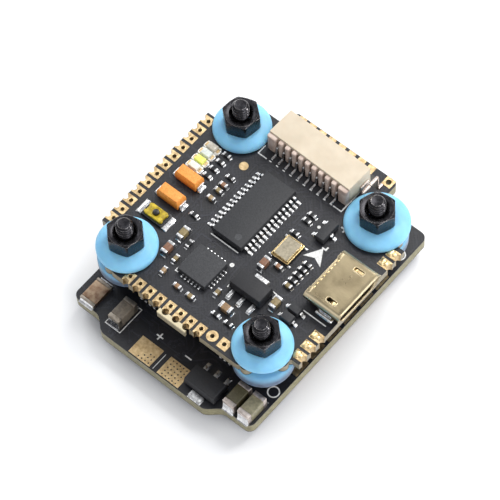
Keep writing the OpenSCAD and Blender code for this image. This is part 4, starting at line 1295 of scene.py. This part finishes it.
def flight_board_print():
    """White print on the flight board: part outlines, the forward arrow and dots."""
    form, line = Form(), 0.14
    z = FC_TOP + PRINT_LIFT
    plug, usb = node_box("plug_socket"), node_box("usb_shell")
    left, right, near = plug.lo.x - 0.35, plug.hi.x - 0.05, plug.lo.y - 1.05
    strip(form, [(left, near + 1.3), (left, near), (left + 1.25, near)], line, z)
    strip(form, [(right - 1.2, near), (right, near), (right, plug.hi.y - 0.3)], line, z)
    for pin in solids("plug_socket_pins"):
        if pin.size.z > 0.3:
            strip(form, [(pin.mid.x - 0.22, near), (pin.mid.x + 0.12, near)], 0.13, z)
    arrow_x, arrow_y = usb.lo.x - 2.75, usb.mid.y + 3.2
    for side in (-1, 1):
        wing = [(arrow_x, arrow_y), (arrow_x, arrow_y - 1.55), (arrow_x + side * 1.25, arrow_y - 2.1)]
        form.loft([[(px, py, pz) for px, py in wing] for pz in (z, z + 0.014)])
    video = node_box("video_chip")
    strip(form, [(video.lo.x + 0.05, video.lo.y - 0.2), (video.hi.x - 0.3, video.lo.y - 0.2)], line, z)
    gyro_box = node_box("gyro_chip")
    disc(form, gyro_box.hi.x + 0.2, gyro_box.hi.y + 0.45, 0.27, z, 0.012)
    x, y = gyro_box.lo.x - 0.3, gyro_box.lo.y - 0.05
    strip(form, [(x, gyro_box.lo.y + 0.5), (x, y), (gyro_box.lo.x + 0.1, y)], 0.12, z)
    reg = node_box("regulator")
    above = reg.hi.y + 0.2
    for start_x, x, end_y in (
        (reg.mid.x - 1.1, reg.lo.x - 0.2, reg.lo.y - 0.05), (reg.mid.x + 1.2, reg.hi.x + 0.2, reg.hi.y - 0.5)
    ):
        strip(form, [(start_x, above), (x, above), (x, end_y)], line, z)
    small = node_box("transistor")
    for y0, side in ((small.hi.y - 0.2, 1), (small.lo.y + 0.2, -1)):
        x1 = small.hi.x + 0.6
        strip(form, [(x1 - 0.55, y0 + side * 0.45), (x1, y0 + side * 0.45), (x1, y0)], 0.2, z)
    disc(form, small.lo.x - 0.6, small.mid.y + 0.1, 0.2, z)
    strip(form, [(usb.lo.x - 0.45, usb.lo.y - 0.24), (FC_BOX.hi.x - 0.75, usb.lo.y - 0.24)], line, z)
    switch = node_box("boot_switch_base")
    strip(form, [(switch.lo.x - 0.72, switch.lo.y), (switch.lo.x - 0.72, switch.hi.y)], line, z)
    form.piece("flight_board_print", FC, [silk], "board_black", (), 30)


def speed_controller_print():
    form, line, z = Form(), 0.16, ESC_TOP + PRINT_LIFT
    pads = solids("battery_pads")
    plus_x, minus_x, sign_y = pads[0].mid.x, pads[1].mid.x, pads[0].hi.y + 1.1
    reach = 0.47
    strip(form, [(plus_x - reach, sign_y), (plus_x + reach, sign_y)], 0.17, z)
    for side in (-1, 1):
        strip(form, [(plus_x, sign_y + side * 0.085), (plus_x, sign_y + side * reach)], 0.17, z)
    strip(form, [(minus_x - reach, sign_y), (minus_x + reach, sign_y)], 0.17, z)
    edge = ESC_BOX.hi.x
    for x, y, r in ((edge - 0.9, -11.3, 0.75), (edge - 1.0, 11.2, 0.75), (-edge + 0.8, -11.6, 0.6)):
        disc(form, x, y, r, z, 0.012, r - line, 32)
    caps = solids("esc_capacitors")
    box, gx, gy = caps[0], 0.3, 0.85
    left, right, near, far = box.lo.x - gx, box.hi.x + gx, box.lo.y - gy, box.hi.y + gy
    corners = [(left, near), (right, near), (right, far), (left, far)]
    strip(form, corners, 0.1, z, 0.012, closed=True)
    x = pads[0].hi.x + 0.45
    strip(form, [(x, pads[0].lo.y + 0.1), (x, pads[0].hi.y - 0.2)], 0.07, z)
    form.piece("speed_controller_print", ESC, [silk], "board_black", (), 30)


def relief(board, name, body, z, up, seed, keep_off, tries):
    """Copper runs and tented vias that show through the mask, clear of every part on that face."""
    bm = bmesh.new()
    bm.from_mesh(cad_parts[board].data)
    tree = BVHTree.FromBMesh(bm)
    parts = [box for node in keep_off for box in solids(node)]
    rng = random.Random(seed)
    span, clear_of_screws, stride = node_box(board), 3.8, 0.22
    directions = [Vector((math.cos(math.radians(45 * k)), math.sin(math.radians(45 * k)))) for k in range(8)]
    used = []

    def free(p, room):
        for dx, dy in ((-room, -room), (room, -room), (room, room), (-room, room)):
            start = Vector(((p.x + dx) * MM, (p.y + dy) * MM, (z + up) * MM))
            if tree.ray_cast(start, Vector((0, 0, -up)), 1.5 * MM)[0] is None:
                return False
        if any(math.hypot(p.x - x, p.y - y) < clear_of_screws for x, y in HOLES):
            return False
        if any(b.lo.x - room < p.x < b.hi.x + room and b.lo.y - room < p.y < b.hi.y + room for b in parts):
            return False
        return all((p - q).length > 0.3 for q in used)

    form, low = Form(), (z if up > 0 else z - TRACE_THICK)
    for _ in range(tries):
        p = Vector((rng.uniform(span.lo.x, span.hi.x), rng.uniform(span.lo.y, span.hi.y)))
        heading = rng.randrange(8)
        if not free(p, 0.28):
            continue
        path, fresh, at = [p], [p], p
        for _leg in range(3):
            step, legs = directions[heading], rng.randrange(3, 14)
            for _k in range(legs):
                following = at + step * stride
                if not free(following, 0.16):
                    break
                at = following
                fresh.append(at)
            if (at - path[-1]).length > 0.3:
                path.append(at)
            heading = (heading + rng.choice((-1, 1))) % 8
        disc(form, p.x, p.y, 0.2, low, 0.02, 0.09, 12)
        if len(path) > 1:
            strip(form, path, rng.choice((0.13, 0.13, 0.2)), low, TRACE_THICK)
            disc(form, path[-1].x, path[-1].y, 0.18, low, 0.018, 0.0, 12)
        used += fresh
    bm.free()
    form.piece(name, body, [trace_mask], "board_black", (), 30)


# ---- build ----

stack_screws()
nuts("upper_nuts", "nuts_on_top")
nuts("lower_nuts", "nuts_between_boards")
grommets()
leaded_chip(
    "video_chip", "video_chip_leads", "video_package", FC, chip_black, 0.15, 1, 0.1, 0.14,
    (0.95, -3.85, 0.42)
)
leaded_chip("driver_chips", "driver_chip_leads", "driver_package", ESC, chip_black)
leaded_chip(
    "main_processor", "main_processor_leads", "processor_package", FC, chip_black, 0.13, -1, 0.1, 0.14
)
leaded_chip("transistor", "transistor_leads", "transistor_package", FC, chip_black, 0.14, 1, 0.08, 0.12)
flat_leads("regulator", "regulator_leads", "regulator_package", FC)
flat_leads("esc_regulator", "esc_regulator_leads", "esc_regulator_package", ESC)
gyro()
leadless_chip("motor_processors", "motor_processor_packages", ESC, chip_grey)
leadless_chip("mosfets", "mosfet_packages", ESC, chip_black, -1)
leadless_chip("flash_chip", "flash_package", FC, chip_black, -1)
two_ended(
    [
        ("resistors", "resistor_bodies", resistor_black, "resistor_black", 0.02),
        ("ceramic_capacitors", "capacitor_bodies", ceramic_tan, "ceramic_tan", 0.05),
    ],
    "part_ends", "tinned_ends", FC,
)
two_ended(
    [("esc_capacitors", "esc_capacitor_bodies", big_ceramics, "ceramic_olive", 0.09)], "esc_capacitor_ends",
    "esc_capacitor_caps", ESC, "tin", [dull_tin, frosted_tin, frosted_tin]
)
two_ended(
    [("current_shunt", "shunt_plate", shunt_alloy, "shunt_copper", 0.08)], "shunt_ends", "shunt_caps", ESC,
    "tin", [dull_tin]
)
diodes()
tantalums()
leds()
crystal()
boot_switch()
usb_socket()
pin_socket(
    "plug_socket", "plug_socket", "plug_socket_pins", FC, cream, cream_ribs_shade_tint, "housing_cream", twist=-1.6
)
pin_socket("esc_socket", "esc_socket", "esc_socket_pins", ESC, dark_housing, dark_housing, "housing_dark")
socket_end_frames()
pin_socket(
    "underside_socket", "underside_socket", "underside_socket_pins", FC, cream, cream_ribs_shade_tint, "housing_cream",
    -1, -1
)
socket_tabs()
edge_solder()
flight_board_print()
speed_controller_print()

top_parts = [
    "side_pads", "rear_pads", "usb_side_pads", "test_pad", "video_chip", "video_chip_leads", "gyro_chip",
    "gyro_pads", "crystal_base", "regulator", "regulator_leads", "transistor", "transistor_leads",
    "tantalum_capacitors", "tantalum_ends", "led_bases", "usb_shell", "plug_socket", "plug_socket_pins",
    "boot_switch_base", "boot_switch_ends", "ceramic_capacitors", "resistors", "diodes", "part_ends",
]
relief("fc_board", "flight_board_traces", FC, FC_TOP, 1, 4, top_parts, 1500)
relief(
    "fc_board", "flight_board_lower_traces", FC, FC_BOTTOM, -1, 5,
    [
        "main_processor", "main_processor_leads", "flash_chip", "underside_socket", "underside_socket_pins",
        "side_pads", "rear_pads", "usb_side_pads"
    ],
    700
)
relief(
    "esc_board", "speed_controller_traces", ESC, ESC_TOP, 1, 6,
    [
        "battery_pads", "motor_pads", "esc_signal_pads", "esc_capacitors", "esc_capacitor_ends",
        "current_shunt", "shunt_ends", "esc_regulator", "esc_regulator_leads", "driver_chips",
        "driver_chip_leads", "motor_processors", "esc_socket", "esc_socket_pins"
    ],
    900
)
relief(
    "esc_board", "speed_controller_lower_traces", ESC, ESC_BOTTOM, -1, 7,
    ["motor_pads", "mosfets", "mosfet_leads"], 700
)

kept_nodes = {
    "fc_board": mask_fc, "esc_board": mask_esc, "boot_spring_dome": spring_steel, "mosfet_leads": tin,
}
for node in (
    "side_pads", "rear_pads", "usb_side_pads", "test_pad", "battery_pads", "motor_pads", "esc_signal_pads",
    "usb_contacts",
):
    kept_nodes[node] = gold
for node, material in kept_nodes.items():
    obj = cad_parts[node]
    for index in range(len(obj.data.materials)):
        obj.data.materials[index] = material


# ---- floor, lights, camera ----

def floor_surface():
    s = Surface("floor", Roughness=0.6, Specular_IOR_Level=0.2)
    s.colour(
        s.ramp(s.noise(0.02, 4.0), [(0.3, srgb(246, 247, 249)), (0.7, srgb(250, 250, 251))])
    ).bump(0.002, 0.8)
    return s.material


def plane(name, size, z, material):
    mesh = bpy.data.meshes.new(name)
    half = size / 2
    mesh.from_pydata(
        [(-half, -half, z), (half, -half, z), (half, half, z), (-half, half, z)], [], [(0, 1, 2, 3)]
    )
    mesh.materials.append(material)
    obj = bpy.data.objects.new(name, mesh)
    bpy.context.scene.collection.objects.link(obj)


def area_light(name, place, aim, size, power, colour):
    light = bpy.data.lights.new(name, "AREA")
    light.shape, light.size, light.energy, light.color = "SQUARE", size, power, colour
    obj = bpy.data.objects.new(name, light)
    obj.location = place
    obj.rotation_mode = "QUATERNION"
    obj.rotation_quaternion = (Vector(aim) - Vector(place)).to_track_quat("-Z", "Y")
    bpy.context.scene.collection.objects.link(obj)


plane("floor", 3.0, 0.0, floor_surface())
# name, place, point aimed at, size, power, colour
LIGHTS = [
    ("key", (0.02, 0.30, 0.36), (0, 0, 0.008), 0.26, 1.65, (1.0, 0.99, 0.97)),
    ("fill", (0.30, -0.05, 0.22), (0, 0, 0.008), 0.2, 0.45, (0.97, 0.98, 1.0)),
    ("glint", (0.26, 0.16, 0.09), (0, 0, 0.012), 0.06, 0.22, (1.0, 1.0, 1.0)),
    ("rim", (-0.26, 0.1, 0.2), (0, 0, 0.008), 0.16, 0.35, (0.96, 0.98, 1.0)),
]
for light in LIGHTS:
    area_light(*light)

world = bpy.data.worlds.new("studio")
bpy.context.scene.world = world
world.use_nodes = True
background = world.node_tree.nodes["Background"]
direction = world.node_tree.nodes.new("ShaderNodeTexCoord").outputs["Generated"]
split = world.node_tree.nodes.new("ShaderNodeSeparateXYZ")
tone = world.node_tree.nodes.new("ShaderNodeValToRGB")
for element, colour in zip(tone.color_ramp.elements, ((0.34, 0.35, 0.37, 1), (0.92, 0.93, 0.95, 1))):
    element.color = colour
world.node_tree.links.new(direction, split.inputs[0])
world.node_tree.links.new(split.outputs[2], tone.inputs[0])
world.node_tree.links.new(tone.outputs[0], background.inputs["Color"])
background.inputs["Strength"].default_value = 0.8

scene = bpy.context.scene
scene.view_settings.view_transform = "Standard"

# The camera looks at a point just off the axis of the screw pattern, near the grommets' rims
AZIMUTH, ELEVATION, LEAN, DISTANCE = 44.4, 60.75, 4.6, 0.3211
FOCAL_MM, SENSOR_MM = 206.4, 36.0
ABOVE_BOARD = 1.0
target = Vector((0.0014, -0.0020, (FC_TOP + ABOVE_BOARD) * MM))
azimuth, elevation = math.radians(AZIMUTH), math.radians(ELEVATION)
back = Vector(
    (math.sin(azimuth) * math.cos(elevation), -math.cos(azimuth) * math.cos(elevation), math.sin(elevation))
)
lens = bpy.data.cameras.new("camera")
lens.lens, lens.sensor_width = FOCAL_MM, SENSOR_MM
lens.clip_start, lens.clip_end = 0.01, 10.0
camera = bpy.data.objects.new("camera", lens)
camera.rotation_mode = "QUATERNION"
camera.location = target + back * DISTANCE
lean = Matrix.Rotation(math.radians(-LEAN), 3, back)
camera.rotation_quaternion = (lean @ (-back).to_track_quat("-Z", "Y").to_matrix()).to_quaternion()
scene.collection.objects.link(camera)
scene.camera = camera
